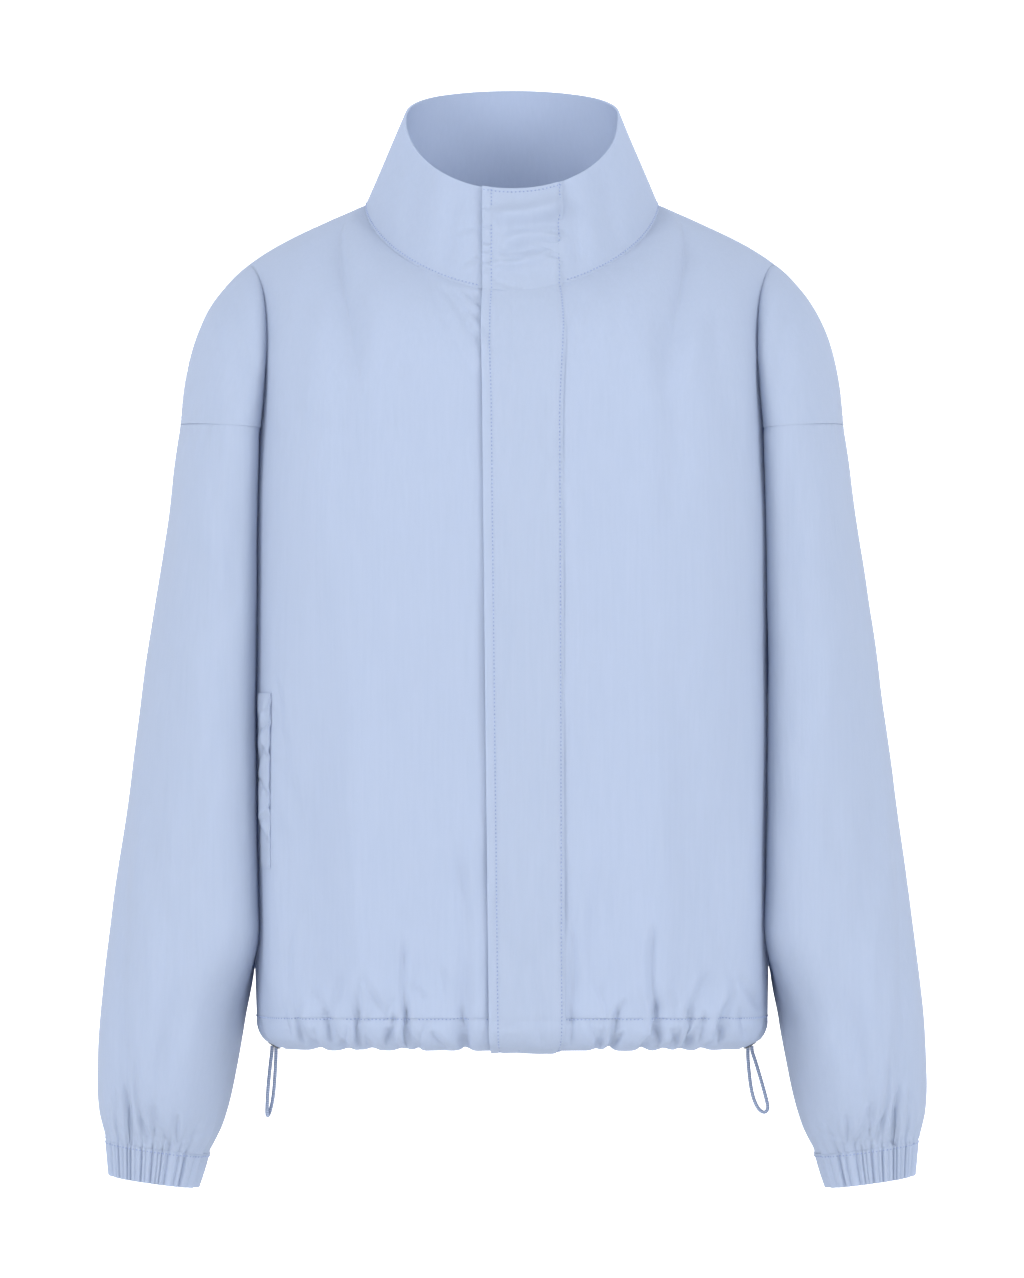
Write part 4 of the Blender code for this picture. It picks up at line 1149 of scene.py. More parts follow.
def polyester_thread(name, base):
    """Spun polyester sewing thread, twisted, a little glossier than the cloth; its darker tone is partly
    painted shade of the needle holes.
    """
    material, tree, shader = new_material(name)
    place = add_node(tree, "ShaderNodeTexCoord").outputs["Object"]
    # Fibres are about 0.02 mm, drawn at 0.4 mm so that the render shows them
    fibres = add_node(tree, "ShaderNodeTexNoise", {"Scale": 2500.0, "Detail": 1.0}, {"Vector": place})
    twist = add_node(
        tree, "ShaderNodeBump", {"Strength": 0.3, "Distance": 0.0001}, {"Height": fibres.outputs["Fac"]}
    )
    tree.links.new(twist.outputs["Normal"], shader.inputs["Normal"])
    # The base colour is darker than the cloth: partly the thread's own tone, partly painted shade of the
    # needle holes between stitches
    shader.inputs["Base Color"].default_value = (*base, 1.0)
    shader.inputs["Roughness"].default_value = 0.6
    return material


def braided_elastic(name, base, pale):
    """Round elastic cord in a fine braid, matt, with a chequer of crossing yarns, paler where they are
    raised as a painted highlight.
    """
    material, tree, shader = new_material(name)
    place = add_node(tree, "ShaderNodeTexCoord").outputs["Object"]
    # Yarns cross every 0.8 mm down the cord
    braid = add_node(
        tree, "ShaderNodeTexWave",
        {"Scale": 200.0, "Distortion": 3.0, "Detail": 1.0, "bands_direction": "Z"},
        {"Vector": place},
    )
    raised = add_node(
        tree, "ShaderNodeBump", {"Strength": 0.5, "Distance": 0.0003}, {"Height": braid.outputs["Fac"]}
    )
    # The pale tone follows the braid's raised yarns, a painted highlight
    mixed_tones(tree, shader, base, pale, braid)
    tree.links.new(raised.outputs["Normal"], shader.inputs["Normal"])
    shader.inputs["Roughness"].default_value = 0.75
    return material


def plated_brass(name, base):
    """Pressed brass eyelet plated in gunmetal, with faint rubbed patches."""
    material, tree, shader = new_material(name)
    place = add_node(tree, "ShaderNodeTexCoord").outputs["Object"]
    # Rubbed patches are about 1.5 mm across
    rubbed = add_node(tree, "ShaderNodeTexNoise", {"Scale": 650.0, "Detail": 2.0}, {"Vector": place})
    rough = add_node(
        tree, "ShaderNodeMapRange", {"To Min": 0.22, "To Max": 0.42}, {"Value": rubbed.outputs["Fac"]}
    )
    tree.links.new(rough.outputs["Result"], shader.inputs["Roughness"])
    shader.inputs["Base Color"].default_value = (*base, 1.0)
    shader.inputs["Metallic"].default_value = 1.0
    return material


def cached_material(maker, name, *colours):
    return bpy.data.materials.get(name) or maker(name, *colours)


def cloth_material():
    colours = bpy.context.scene.windbreaker_colours
    return cached_material(woven_nylon, "woven_nylon", tuple(colours.cloth), tuple(colours.cloth_pale))


def thread_material():
    colour = bpy.context.scene.windbreaker_colours.thread
    return cached_material(polyester_thread, "polyester_thread", tuple(colour))


# Settings
def colour_setting(name, description, hex_colour):
    return bpy.props.FloatVectorProperty(
        name=name, description=description, subtype="COLOR", size=3, min=0.0, max=1.0,
        default=linear(hex_colour),
    )


def length_setting(name, description, default, low, high):
    return bpy.props.FloatProperty(
        name=name, description=description, unit="LENGTH", default=default, min=low, max=high,
    )


class WindbreakerColours(bpy.types.PropertyGroup):
    """Colours of the jacket's cloth, thread, cord and eyelets; the thread carries painted shade and the cord
    a painted highlight.
    """

    cloth: colour_setting("Cloth", "Cloth between its slubs", "#aebcd3")
    cloth_pale: colour_setting("Slubs", "Paler warp slubs", "#b8c4da")
    # Thread darker than the cloth: partly its own tone, partly painted shade of the needle holes
    thread: colour_setting("Thread", "Sewing thread", "#8c9cc2")
    cord: colour_setting("Cord", "Drawcord yarns", "#7f8dab")
    # Paler tone of the raised yarns, a painted highlight on the cord
    cord_painted_highlight: colour_setting("Cord highlights", "Raised drawcord yarns", "#9ba8c2")
    eyelet: colour_setting("Eyelet", "Eyelet plating", "#5a5d63")


class WindbreakerSizes(bpy.types.PropertyGroup):
    """Sizes of the jacket's cloth and sewing."""

    cloth_thickness: length_setting("Cloth", "Thickness of one shell of cloth", 0.0007, 0.0002, 0.002)
    placket_thickness: length_setting("Placket", "Thickness of the folded storm flap", 0.0014, 0.0005, 0.003)
    stitch_pitch: length_setting("Stitch pitch", "Length of one stitch and its gap", 0.0026, 0.001, 0.01)
    stitch_radius: length_setting("Stitch thickness", "Half the thread's thickness", 0.00046, 0.0001, 0.001)
    cuff_gather_depth: length_setting("Cuff gathers", "Depth of the cuffs' gathers", 0.0028, 0.0, 0.005)
    cord_diameter: length_setting("Cord", "Diameter of the drawcord", 0.0027, 0.001, 0.006)


# Pieces
def panel_grids(side, face, cells):
    columns = spread((0.0, 1.0, 2.0, 3.0, 4.0), cells.chest + (cells.underarm,))
    column, share = np.meshgrid(columns, np.linspace(0.0, 1.0, cells.body_rows + 1))
    body = body_point(side, face, column, share)
    columns = spread((0.0, 1.0, 2.0, 3.0), cells.chest)
    rows = np.linspace(0.0, 1.0, cells.yoke_rows + 1)
    column, share = np.meshgrid(columns, rows)
    yoke = yoke_point(side, face, column, share)
    place, share = np.meshgrid(np.linspace(0.0, 1.0, cells.cap + 1), rows)
    cap = cap_point(side, face, place, share)
    return [body, yoke, cap]


def panel_seams(grids):
    """Return the seams of a half panel above its hem: side, neck, armhole and shoulder."""
    body, yoke, cap = grids
    return [body[:, -1], yoke[-1], cap[0], cap[:, -1]]


def both_sides(seams):
    """Join each seam to its mirror image."""
    return [np.concatenate((seam, seam * MIRROR)) for seam in seams]


FRONT_LEFT_FOLDS = CREASES_FRONT_LEFT + CREASES_HEM_LEFT
FRONT_RIGHT_FOLDS = CREASES_FRONT_RIGHT + CREASES_HEM_RIGHT
BACK_FOLDS = CREASES_BACK + CREASES_HEM_BACK


def body_folds(points, creases, side):
    """Return the creases and ripples that run over the body and its casing alike."""
    offset = crease_offset(points, creases, side)
    if side == 0:
        offset += crease_offset(points, CREASES_BACK_LEFT, 1)
        offset += crease_offset(points, CREASES_BACK_RIGHT, -1)
    return offset + rippled(points, BODY_RIPPLES)


def dress_panel(mesh, seams, creases, side=0):
    points = vertex_values(mesh)
    offset = body_folds(points, creases, side) + crease_offset(points, CREASES_CAP, side)
    side_seam, _, armhole, _ = seams
    offset = still_at(points, seams, offset)
    offset += groove(points, [side_seam]) - groove(points, [armhole], SEAM_LIP)
    if side < 0:
        edge = across_middle(placket_strip)[:, 0]
        offset += groove(points, [edge], UNDER_EDGE_DEPTH, UNDER_EDGE_WIDTH)
    displace(mesh, offset, hem_directions(mesh))


class WINDBREAKER_OT_fronts(bpy.types.Operator):
    """Make both front panels with their drop-shoulder caps"""

    bl_idname = "windbreaker.fronts"
    bl_label = "Fronts"

    def execute(self, context):
        thickness = context.scene.windbreaker_sizes.cloth_thickness
        for name, side, creases in (
            ("front_left", 1, FRONT_LEFT_FOLDS),
            ("front_right", -1, FRONT_RIGHT_FOLDS),
        ):
            grids = panel_grids(side, 1, FRONT_CELLS)
            if side < 0:
                grids = [mirrored(grid) for grid in grids]
            seams = panel_seams([grid if side > 0 else grid[:, ::-1] for grid in grids])
            mesh = mesh_from_grids(name, grids)
            dress_panel(mesh, seams, creases, side)
            piece = add_piece(name + "_cloth", mesh, cloth_material(), [name], thickness)
        return {"FINISHED"}


class WINDBREAKER_OT_back(bpy.types.Operator):
    """Make the back panel with its shoulder caps"""

    bl_idname = "windbreaker.back"
    bl_label = "Back"

    def execute(self, context):
        half = panel_grids(1, -1, BACK_CELLS)
        other = [mirrored(grid) for grid in half]
        grids = [turned(grid) for grid in half + other]
        seams = both_sides(panel_seams(half))
        mesh = mesh_from_grids("back", grids)
        dress_panel(mesh, seams, BACK_FOLDS)
        thickness = context.scene.windbreaker_sizes.cloth_thickness
        piece = add_piece("back_cloth", mesh, cloth_material(), ["back"], thickness)
        return {"FINISHED"}


class WINDBREAKER_OT_sleeves(bpy.types.Operator):
    """Make both sleeves"""

    bl_idname = "windbreaker.sleeves"
    bl_label = "Sleeves"

    def execute(self, context):
        turns = spread((0.0, 1.0, 2.0, 3.0), SLEEVE_COLUMNS)[:-1]
        turn, share = np.meshgrid(turns, np.linspace(0.0, 1.0, SLEEVE_ROWS) ** SLEEVE_ROWS_CROWD)
        left = sleeve_point(turn, share)
        thickness = context.scene.windbreaker_sizes.cloth_thickness
        for name, grid, shift in (
            ("sleeve_left", left, 0.0),
            ("sleeve_right", mirrored(left), SLEEVE_RIGHT_SEED),
        ):
            mesh = mesh_from_grids(name, [grid], closed=True)
            points = vertex_values(mesh)
            front = ease((SLEEVE_FACE_BLEND - points[:, 1]) / (2.0 * SLEEVE_FACE_BLEND))
            offset = front * crease_offset(points, CREASES_SLEEVE_FRONT)
            offset += (1.0 - front) * crease_offset(points, CREASES_SLEEVE_BACK)
            offset += rippled(points, SLEEVE_RIPPLES, shift)
            cuff_seam, armhole = grid[:1], grid[-1:]
            offset = still_at(points, cuff_seam, offset, CUFF_SEAM_STILL)
            offset = still_at(points, armhole, offset)
            displace(mesh, offset + groove(points, armhole, SEAM_LIP))
            piece = add_piece(name + "_cloth", mesh, cloth_material(), [name], thickness)
        return {"FINISHED"}


class WINDBREAKER_OT_cuffs(bpy.types.Operator):
    """Make both gathered elastic cuffs"""

    bl_idname = "windbreaker.cuffs"
    bl_label = "Cuffs"

    def execute(self, context):
        turns = spread((0.0, 1.0, 2.0, 3.0), CUFF_COLUMNS)[:-1]
        heights = np.linspace(CUFF[0].height, CUFF[-1].height, CUFF_ROWS)
        turn, height = np.meshgrid(turns, heights)
        sizes = context.scene.windbreaker_sizes
        left = cuff_point(turn, height, sizes.cuff_gather_depth)
        for name, grid in (("cuff_left", left), ("cuff_right", mirrored(left))):
            mesh = mesh_from_grids(name, [grid], closed=True)
            points = vertex_values(mesh)
            displace(mesh, groove(points, [grid[-1]]))
            piece = add_piece(name + "_cloth", mesh, cloth_material(), [name], DOUBLED_CLOTH)
        return {"FINISHED"}


class WINDBREAKER_OT_collar(bpy.types.Operator):
    """Make the funnel stand collar"""

    bl_idname = "windbreaker.collar"
    bl_label = "Collar"

    def execute(self, context):
        columns = spread((0.0, 1.0, 2.0), COLLAR_COLUMNS)
        column, share = np.meshgrid(columns, np.linspace(0.0, 1.0, COLLAR_ROWS))
        left = collar_point(1, 1, column, share)
        right = mirrored(collar_point(-1, 1, column, share))
        behind_left = turned(collar_point(1, -1, column, share))
        behind_right = mirrored(behind_left)
        mesh = mesh_from_grids("collar", [left, behind_left, behind_right, right])
        points = vertex_values(mesh)
        offset = crease_offset(points, CREASES_COLLAR) + rippled(points, COLLAR_RIPPLES)
        seams = [grid[0] for grid in (left, behind_left, behind_right, right)]
        offset = still_at(points, seams, offset)
        edge = across_middle(collar_strip)[:, 0]
        displace(mesh, offset + groove(points, [edge], UNDER_EDGE_DEPTH, UNDER_EDGE_WIDTH))
        piece = add_piece("collar_cloth", mesh, cloth_material(), ["collar"], DOUBLED_CLOTH)
        return {"FINISHED"}


def across_middle(maker):
    """Join a strip for the wearer's right to one for the left, over the centre front."""
    return np.concatenate((mirrored(maker(-1)), maker(1)[:, 1:]), axis=1)


def placket_strip(side):
    columns = np.linspace(0.0, 1.0, PLACKET_COLUMNS)
    column, share = np.meshgrid(columns, np.linspace(1.0, 0.0, PLACKET_HEM_ROWS)[:-1])
    angle = column_angle(side, 1, column, np.full_like(column, HEM_Z))
    hem = casing_point(1, np.interp(angle, *hem_ruler(1)), share, ())
    column, share = np.meshgrid(columns, np.linspace(0.0, 1.0, FRONT_CELLS.body_rows + 1))
    body = body_point(side, 1, column, share)
    column, share = np.meshgrid(columns, np.linspace(0.0, 1.0, FRONT_CELLS.yoke_rows + 1)[1:])
    return np.concatenate((hem, body, yoke_point(side, 1, column, share)))


def collar_strip(side):
    columns = np.linspace(0.0, 1.0, PLACKET_COLUMNS)
    column, share = np.meshgrid(columns, np.linspace(0.0, 1.0, PLACKET_NECK_ROWS))
    return collar_point(side, 1, column, share)


def inside_edge(grid, distance):
    """Return the curve that lies a distance inside a grid's first column."""
    curve = []
    for row in grid:
        marks = np.concatenate(([0.0], np.cumsum(np.linalg.norm(np.diff(row, axis=0), axis=1))))
        curve.append([np.interp(distance, marks, row[:, axis]) for axis in range(3)])
    return np.array(curve)


def placket_rows(grid):
    """Return the placket's rows of stitching: free edge and sewn edge."""
    return [inside_edge(grid, EDGE_STITCH_INSIDE), inside_edge(grid[:, ::-1], CLOSE_STITCH_INSIDE)]


def end_row(grid):
    """Return the row of stitching just inside a grid's last row."""
    return inside_edge(grid.transpose(1, 0, 2)[:, ::-1], CLOSE_STITCH_INSIDE)


class WINDBREAKER_OT_placket(bpy.types.Operator):
    """Make the storm flap over the centre front and on the collar"""

    bl_idname = "windbreaker.placket"
    bl_label = "Placket"

    def execute(self, context):
        thickness = context.scene.windbreaker_sizes.placket_thickness
        for name, maker, creases, flat in (
            ("placket", placket_strip, CREASES_PLACKET, (0.056, 0.53)),
            ("placket_neck", collar_strip, CREASES_PLACKET_NECK, (0.056, 0.072)),
        ):
            grid = across_middle(maker)
            mesh = mesh_from_grids(name, [grid])
            points = vertex_values(mesh)
            offset = PLACKET_RAISE + crease_offset(points, creases, 1)
            offset += rippled(points, PLACKET_RIPPLES)
            offset += groove(points, [grid[:, -1]], PLACKET_SEWN_DEPTH, PLACKET_SEWN_WIDTH)
            offset += groove(points, placket_rows(grid), PLACKET_ROW_DEPTH)
            displace(mesh, offset)
            piece = add_piece(name + "_cloth", mesh, cloth_material(), [name], thickness)
        return {"FINISHED"}


class WINDBREAKER_OT_hem(bpy.types.Operator):
    """Make the gathered drawcord casing in its front and back pieces"""

    bl_idname = "windbreaker.hem"
    bl_label = "Hem casing"

    def execute(self, context):
        shares = np.linspace(1.0, 0.0, CASING_ROWS)
        run = np.linspace(0.0, hem_ruler(1)[1][-1], CASING_FRONT_COLUMNS)
        along, share = np.meshgrid(run, shares)
        left = casing_point(1, along, share, GATHERS_FRONT_LEFT)
        right = mirrored(casing_point(1, along, share, GATHERS_FRONT_RIGHT))
        run = np.linspace(0.0, hem_ruler(-1)[1][-1], CASING_BACK_COLUMNS)
        along, share = np.meshgrid(run, shares)
        back = casing_point(-1, along, share, GATHERS_BACK)
        pieces = (
            ("hem_front_left", [left], FRONT_LEFT_FOLDS, 1, (0.28, 0.032)),
            ("hem_front_right", [right], FRONT_RIGHT_FOLDS, -1, (0.28, 0.032)),
            ("hem_back", [turned(back), turned(mirrored(back))], BACK_FOLDS, 0, (0.54, 0.032)),
        )
        for name, grids, creases, side, flat in pieces:
            mesh = mesh_from_grids(name, grids)
            points = vertex_values(mesh)
            rise = points[:, 2] - HEM_Z + CASING[-1].drop
            offset = body_folds(points, creases, side)
            offset = offset * mix(CASING_EDGE_CREASED, 1.0, ease(rise / CASING_EDGE_RISE))
            displace(mesh, offset, hem_directions(mesh))
            piece = add_piece(name + "_cloth", mesh, cloth_material(), [name], CASING_CLOTH)
        return {"FINISHED"}


def welt_grid(angles):
    around = np.radians(np.linspace(*angles, WELT_COLUMNS))
    heights = WELT_TOP_Z - WELT_LENGTH * np.linspace(1.0, 0.0, WELT_ROWS)
    angle, height = np.meshgrid(around, heights)
    return torso_point(height, angle, 1, -drape_offset(FRONT_DRAPES, angle, height))


class WINDBREAKER_OT_pockets(bpy.types.Operator):
    """Make the slit pockets' welts"""

    bl_idname = "windbreaker.pockets"
    bl_label = "Pocket welts"

    def execute(self, context):
        for name, grid, folds, side in (
            ("pocket_left", welt_grid(WELT_LEFT_ANGLES), FRONT_LEFT_FOLDS, 1),
            ("pocket_right", mirrored(welt_grid(WELT_RIGHT_ANGLES)), FRONT_RIGHT_FOLDS, -1),
        ):
            mesh = mesh_from_grids(name, [grid])
            points = vertex_values(mesh)
            rise = points[:, 2] - WELT_TOP_Z + WELT_LENGTH
            offset = body_folds(points, folds, side)
            offset += mix(WELT_LOW_RAISE, WELT_RAISE, ease(rise / (WELT_LENGTH / 2.0)))
            offset += groove(points, [grid[-1], grid[:, 0]], WELT_SEAM_DEPTH, WELT_SEAM_WIDTH)
            offset += crease_offset(points, CREASES_POCKET)
            displace(mesh, offset)
            piece = add_piece(name + "_cloth", mesh, cloth_material(), [name], CASING_CLOTH)
        return {"FINISHED"}


def smooth_path(controls, steps):
    """Return points on a smooth curve through control points."""
    path = []
    for index in range(len(controls) - 1):
        before = controls[max(index - 1, 0)]
        here = controls[index]
        there = controls[index + 1]
        after = controls[min(index + 2, len(controls) - 1)]
        for step in range(steps):
            curve = (here, here + (there - before) / 6.0, there - (after - here) / 6.0, there)
            path.append(bezier(curve, step / steps))
    path.append(controls[-1])
    return np.array(path)


class WINDBREAKER_OT_cords(bpy.types.Operator):
    """Make the two elastic drawcord loops"""

    bl_idname = "windbreaker.cords"
    bl_label = "Drawcords"

    def execute(self, context):
        colours = context.scene.windbreaker_colours
        diameter = context.scene.windbreaker_sizes.cord_diameter
        # The second tone is the painted highlight on the cord's raised yarns
        tones = (tuple(colours.cord), tuple(colours.cord_painted_highlight))
        material = cached_material(braided_elastic, "braided_elastic", *tones)
        for name, table, side in (("cord_left", CORD_LEFT, 1), ("cord_right", CORD_RIGHT, -1)):
            start = np.array((side * EYELET_X, EYELET_Y, EYELET_Z))
            controls = [start + np.array((side * p.out, -p.forward, -p.down)) for p in table]
            path = smooth_path(controls, CORD_STEPS)
            data = bpy.data.curves.new(name, "CURVE")
            data.dimensions = "3D"
            data.bevel_depth = diameter / 2.0
            data.bevel_resolution = CORD_BEVEL
            data.use_fill_caps = True
            spline = data.splines.new("POLY")
            spline.points.add(len(path) - 1)
            for point, place in zip(spline.points, path):
                point.co = (*place, 1.0)
            spline.use_smooth = True
            piece = bpy.data.objects.new(name + "_braid", data)
            context.scene.collection.objects.link(piece)
            piece.data.materials.append(material)
            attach(piece, BODY)
            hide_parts(name)
        return {"FINISHED"}


class WINDBREAKER_OT_eyelets(bpy.types.Operator):
    """Finish the two metal eyelets"""

    bl_idname = "windbreaker.eyelets"
    bl_label = "Eyelets"

    def execute(self, context):
        colour = tuple(context.scene.windbreaker_colours.eyelet)
        material = cached_material(plated_brass, "plated_brass", colour)
        for name in ("eyelet_left", "eyelet_right"):
            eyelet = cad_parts[name]
            eyelet.data.materials.clear()
            eyelet.data.materials.append(material)
        return {"FINISHED"}


# Sewing
def along_curve(curve, spacing):
    """Return evenly spaced points on a curve."""
    steps = np.linalg.norm(np.diff(curve, axis=0), axis=1)
    total = np.concatenate(([0.0], np.cumsum(steps)))
    count = max(int(total[-1] / spacing), 2)
    places = np.linspace(0.0, total[-1], count)
    return np.stack([np.interp(places, total, curve[:, axis]) for axis in range(3)], axis=1)


def stitch_row(curve, drop, pitch, radius):
    """Return points and faces of a row of stitches laid along a curve on the cloth."""
    places = along_curve(curve, pitch)
    points = []
    faces = []
    sides = STITCH_SIDES
    for here, there in zip(places, places[1:]):
        middle = (here + there) / 2.0
        along = (there - here) / np.linalg.norm(there - here)
        up = drop(middle)[1]
        up = up - along * up.dot(along)
        up = up / np.linalg.norm(up)
        across = np.cross(along, up)
        start = len(points)
        for ring in STITCH_RINGS:
            centre = middle + along * ring.place * pitch + up * ring.lift * radius
            for side in range(sides):
                angle = 2.0 * math.pi * side / sides
                spoke = across * math.cos(angle) + up * math.sin(angle)
                points.append(centre + spoke * radius * ring.size)
        for ring in range(len(STITCH_RINGS) - 1):
            for side in range(sides):
                low = start + ring * sides
                following = (side + 1) % sides
                faces.append((low + side, low + following, low + sides + following, low + sides + side))
        faces.append(tuple(start + side for side in reversed(range(sides))))
        last = start + (len(STITCH_RINGS) - 1) * sides
        faces.append(tuple(last + side for side in range(sides)))
    return points, faces


def surface_finder(name):
    """Return a function that drops a point onto a piece and gives its outward direction there."""
    piece = bpy.data.objects[name]

    def drop(point):
        _, place, normal, _ = piece.closest_point_on_mesh(Vector(point))
        return np.array(place), np.array(normal)

    return drop


def sew(name, rows, material, sizes):
    """Make rows of stitches into one piece; each row is a piece's name and a curve near it."""
    points = []
    faces = []
    for cloth, curve in rows:
        drop = surface_finder(cloth)
        laid = np.array([drop(place)[0] for place in along_curve(curve, STITCH_CURVE_STEP)])
        row = stitch_row(laid, drop, sizes.stitch_pitch, sizes.stitch_radius)
        faces += [tuple(len(points) + corner for corner in face) for face in row[1]]
        points += row[0]
    mesh = bpy.data.meshes.new(name)
    mesh.from_pydata([tuple(point) for point in points], [], faces)
    mesh.update()
    return add_piece(name, mesh, material, [])


class WINDBREAKER_OT_stitching(bpy.types.Operator):
    """Sew the topstitching on the collar, placket, casing, cuffs and pockets"""

    bl_idname = "windbreaker.stitching"
    bl_label = "Stitching"

    def execute(self, context):
        sizes = context.scene.windbreaker_sizes
        thread = thread_material()
        bpy.context.view_layer.update()
        placket = across_middle(placket_strip)
        neck = across_middle(collar_strip)
        raise_front = np.array((0.0, -PLACKET_RAISE, 0.0))
        rows = [("placket_cloth", curve + raise_front) for curve in placket_rows(placket)]
        rows.append(("placket_cloth", end_row(placket[::-1]) + raise_front))
        rows += [("placket_neck_cloth", curve + raise_front) for curve in placket_rows(neck)]
        rows.append(("placket_neck_cloth", end_row(neck) + raise_front))
        sew("placket_stitches", rows, thread, sizes)
        ring = []
        for side, face in ((1, 1), (1, -1), (-1, 1), (-1, -1)):
            first = COLLAR_STITCH_FROM if face > 0 else 0.0
            column = np.linspace(first, 2.0, COLLAR_STITCH_STEPS)
            points = collar_point(side, face, column, np.full_like(column, COLLAR_STITCH_SHARE))
            ring.append(points * np.array((side, 1.0, 1.0)))
        sew("collar_stitches", [("collar_cloth", curve) for curve in ring], thread, sizes)
        rows = []
        for name, face, side, first in (
            ("hem_front_left_cloth", 1, 1, PLACKET_LEFT_HEM_X),
            ("hem_front_right_cloth", 1, -1, PLACKET_RIGHT_HEM_X),
            ("hem_back_cloth", -1, 1, 0.0),
            ("hem_back_cloth", -1, -1, 0.0),
        ):
            along = np.linspace(first, hem_ruler(face)[1][-1], CASING_STITCH_STEPS)
            curve = casing_point(face, along, np.full_like(along, CASING_STITCH_SHARE), ())
            rows.append((name, curve * np.array((side, 1.0, 1.0))))
        sew("casing_stitches", rows, thread, sizes)
        turns = np.linspace(0.0, 3.0, CUFF_STITCH_STEPS)
        seam = cuff_point(turns, np.full_like(turns, CUFF[-1].height - CUFF_STITCH_DROP), 0.0)
        rows = [("cuff_left_cloth", seam), ("cuff_right_cloth", seam * MIRROR)]
        sew("cuff_stitches", rows, thread, sizes)
        rows = []
        for name, grid, side in (
            ("pocket_left_cloth", welt_grid(WELT_LEFT_ANGLES), 1),
            ("pocket_right_cloth", welt_grid(WELT_RIGHT_ANGLES), -1),
        ):
            for curve in (inside_edge(grid, CLOSE_STITCH_INSIDE), end_row(grid)):
                rows.append((name, curve * np.array((side, 1.0, 1.0))))
        sew("pocket_stitches", rows, thread, sizes)
        return {"FINISHED"}


# Stage
CAMERA_DISTANCE = 4.5
FRAME_HEIGHT = 0.8946
FRAME_CENTRE_Z = -0.3038
FLOOR_Z = -1.4
STAGE_REACH = 9.0
BACKDROP_Y = 6.0
FLOOR_CORNERS = (
    (-STAGE_REACH, -STAGE_REACH, FLOOR_Z),
    (STAGE_REACH, -STAGE_REACH, FLOOR_Z),
    (STAGE_REACH, BACKDROP_Y, FLOOR_Z),
    (-STAGE_REACH, BACKDROP_Y, FLOOR_Z),
)
BACKDROP_CORNERS = (
    (-STAGE_REACH, BACKDROP_Y, FLOOR_Z),
    (STAGE_REACH, BACKDROP_Y, FLOOR_Z),
    (STAGE_REACH, BACKDROP_Y, STAGE_REACH),
    (-STAGE_REACH, BACKDROP_Y, STAGE_REACH),
)
LIGHT_TARGET = (0.0, 0.0, -0.30)
WORLD_STRENGTH = 0.80
Light = namedtuple("Light", "name place width height energy")
LIGHTS = (
    Light("front", (0.0, -3.6, 0.2), 3.0, 2.6, 21.0),
    Light("side_right", (-2.6, -1.8, 0.6), 1.2, 1.8, 51.0),
    Light("side_left", (2.6, -1.8, 0.6), 1.2, 1.8, 49.0),
    Light("top", (0.0, -2.0, 2.4), 2.6, 1.8, 22.0),
)


def soft_light(light):
    data = bpy.data.lights.new(light.name, "AREA")
    data.shape = "RECTANGLE"
    data.size = light.width
    data.size_y = light.height
    data.energy = light.energy
    lamp = bpy.data.objects.new(light.name, data)
    bpy.context.scene.collection.objects.link(lamp)
    lamp.location = light.place
    aim = Vector(LIGHT_TARGET) - Vector(light.place)
    lamp.rotation_euler = aim.to_track_quat("-Z", "Y").to_euler()


def matt_paint(name, glow):
    """Flat white studio paint, lit from behind where it glows."""
    material, _, shader = new_material(name)
    shader.inputs["Base Color"].default_value = (0.9, 0.9, 0.9, 1.0)
    shader.inputs["Roughness"].default_value = 0.9
    shader.inputs["Emission Color"].default_value = (1.0, 1.0, 1.0, 1.0)
    shader.inputs["Emission Strength"].default_value = glow
    return material


def studio_sheet(name, corners, material):
    mesh = bpy.data.meshes.new(name)
    mesh.from_pydata(corners, [], [(0, 1, 2, 3)])
    sheet = bpy.data.objects.new(name, mesh)
    sheet.data.materials.append(material)
    bpy.context.scene.collection.objects.link(sheet)
    return sheet


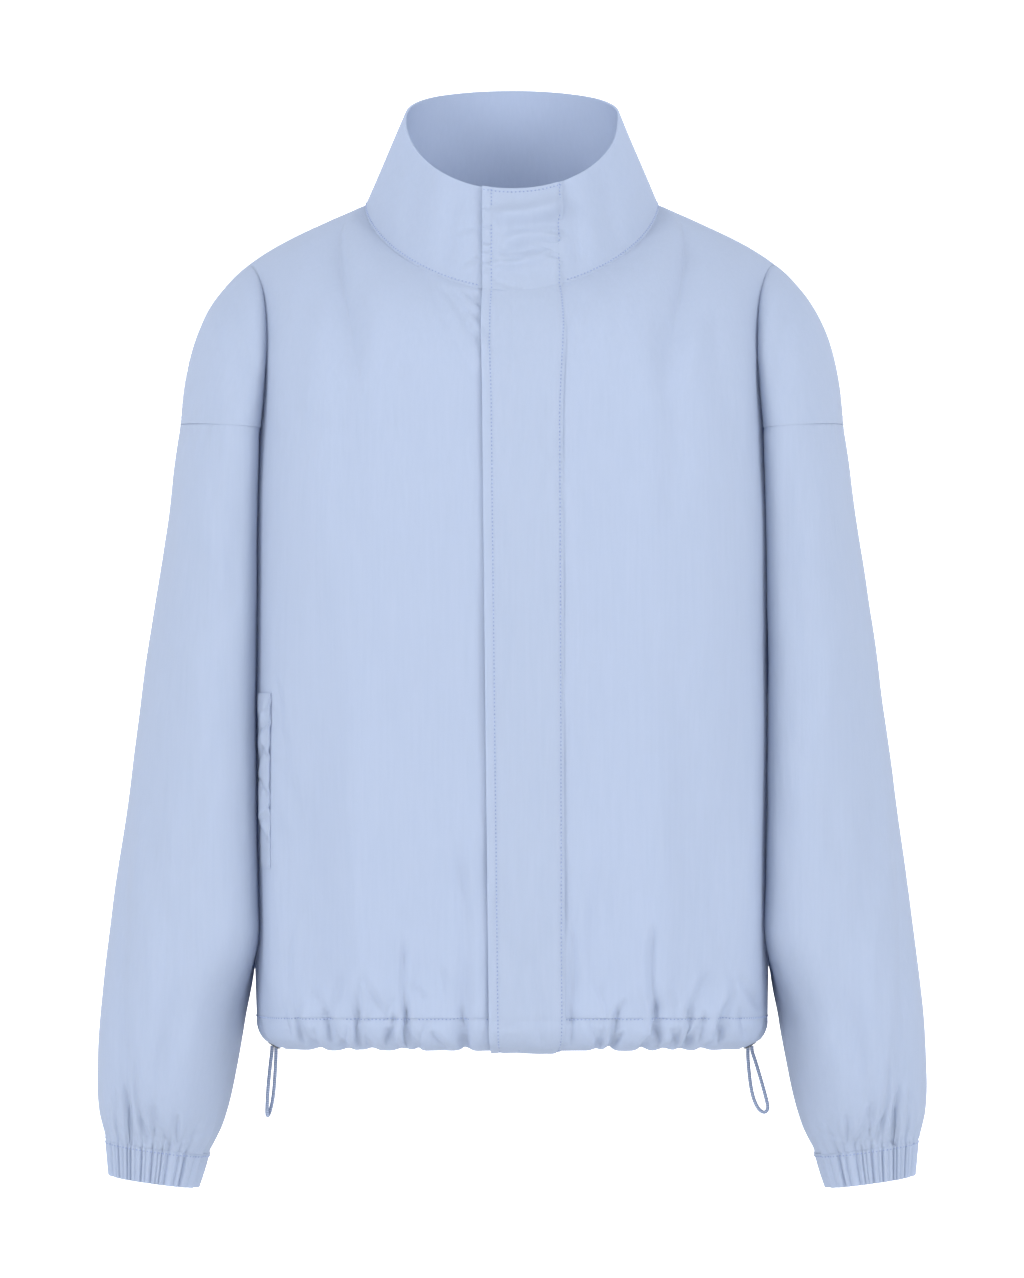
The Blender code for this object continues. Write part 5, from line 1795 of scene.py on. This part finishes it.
class WINDBREAKER_OT_stage(bpy.types.Operator):
    """Set the camera, soft lights, floor and backdrop"""

    bl_idname = "windbreaker.stage"
    bl_label = "Stage"

    def execute(self, context):
        scene = context.scene
        data = bpy.data.cameras.new("photo_camera")
        data.sensor_fit = "VERTICAL"
        data.angle = 2.0 * math.atan(FRAME_HEIGHT / 2.0 / CAMERA_DISTANCE)
        camera = bpy.data.objects.new("photo_camera", data)
        scene.collection.objects.link(camera)
        camera.location = (0.0, -CAMERA_DISTANCE, FRAME_CENTRE_Z)
        camera.rotation_euler = (math.radians(90.0), 0.0, 0.0)
        scene.camera = camera

        world = bpy.data.worlds.new("studio")
        world.use_nodes = True
        background = world.node_tree.nodes["Background"]
        background.inputs["Color"].default_value = (1.0, 1.0, 1.0, 1.0)
        background.inputs["Strength"].default_value = WORLD_STRENGTH
        scene.world = world
        scene.view_settings.view_transform = "Standard"

        floor = studio_sheet("studio_floor", FLOOR_CORNERS, matt_paint("painted_floor", 0.0))
        backdrop = studio_sheet("studio_backdrop", BACKDROP_CORNERS, matt_paint("lit_backdrop", 1.0))
        for light in LIGHTS:
            soft_light(light)
        return {"FINISHED"}


class WINDBREAKER_PT_pieces(bpy.types.Panel):
    """Lists the jacket's settings and pieces"""

    bl_label = "Windbreaker"
    bl_idname = "WINDBREAKER_PT_pieces"
    bl_space_type = "VIEW_3D"
    bl_region_type = "UI"
    bl_category = "Windbreaker"

    def draw(self, context):
        layout = self.layout
        for group in (context.scene.windbreaker_colours, context.scene.windbreaker_sizes):
            for name in group.__annotations__:
                layout.prop(group, name)
        for operator in OPERATORS:
            layout.operator(operator.bl_idname)


OPERATORS = (
    WINDBREAKER_OT_stage,
    WINDBREAKER_OT_cords,
    WINDBREAKER_OT_fronts,
    WINDBREAKER_OT_back,
    WINDBREAKER_OT_sleeves,
    WINDBREAKER_OT_cuffs,
    WINDBREAKER_OT_collar,
    WINDBREAKER_OT_placket,
    WINDBREAKER_OT_hem,
    WINDBREAKER_OT_pockets,
    WINDBREAKER_OT_eyelets,
    WINDBREAKER_OT_stitching,
)
CLASSES = (WindbreakerColours, WindbreakerSizes) + OPERATORS + (WINDBREAKER_PT_pieces,)


def register():
    for item in CLASSES:
        bpy.utils.register_class(item)
    bpy.types.Scene.windbreaker_colours = bpy.props.PointerProperty(type=WindbreakerColours)
    bpy.types.Scene.windbreaker_sizes = bpy.props.PointerProperty(type=WindbreakerSizes)


def unregister():
    del bpy.types.Scene.windbreaker_sizes
    del bpy.types.Scene.windbreaker_colours
    for item in reversed(CLASSES):
        bpy.utils.unregister_class(item)


def main():
    register()
    for operator in OPERATORS:
        group, name = operator.bl_idname.split(".")
        getattr(getattr(bpy.ops, group), name)()
    bpy.context.view_layer.update()


if __name__ == "__main__":
    main()
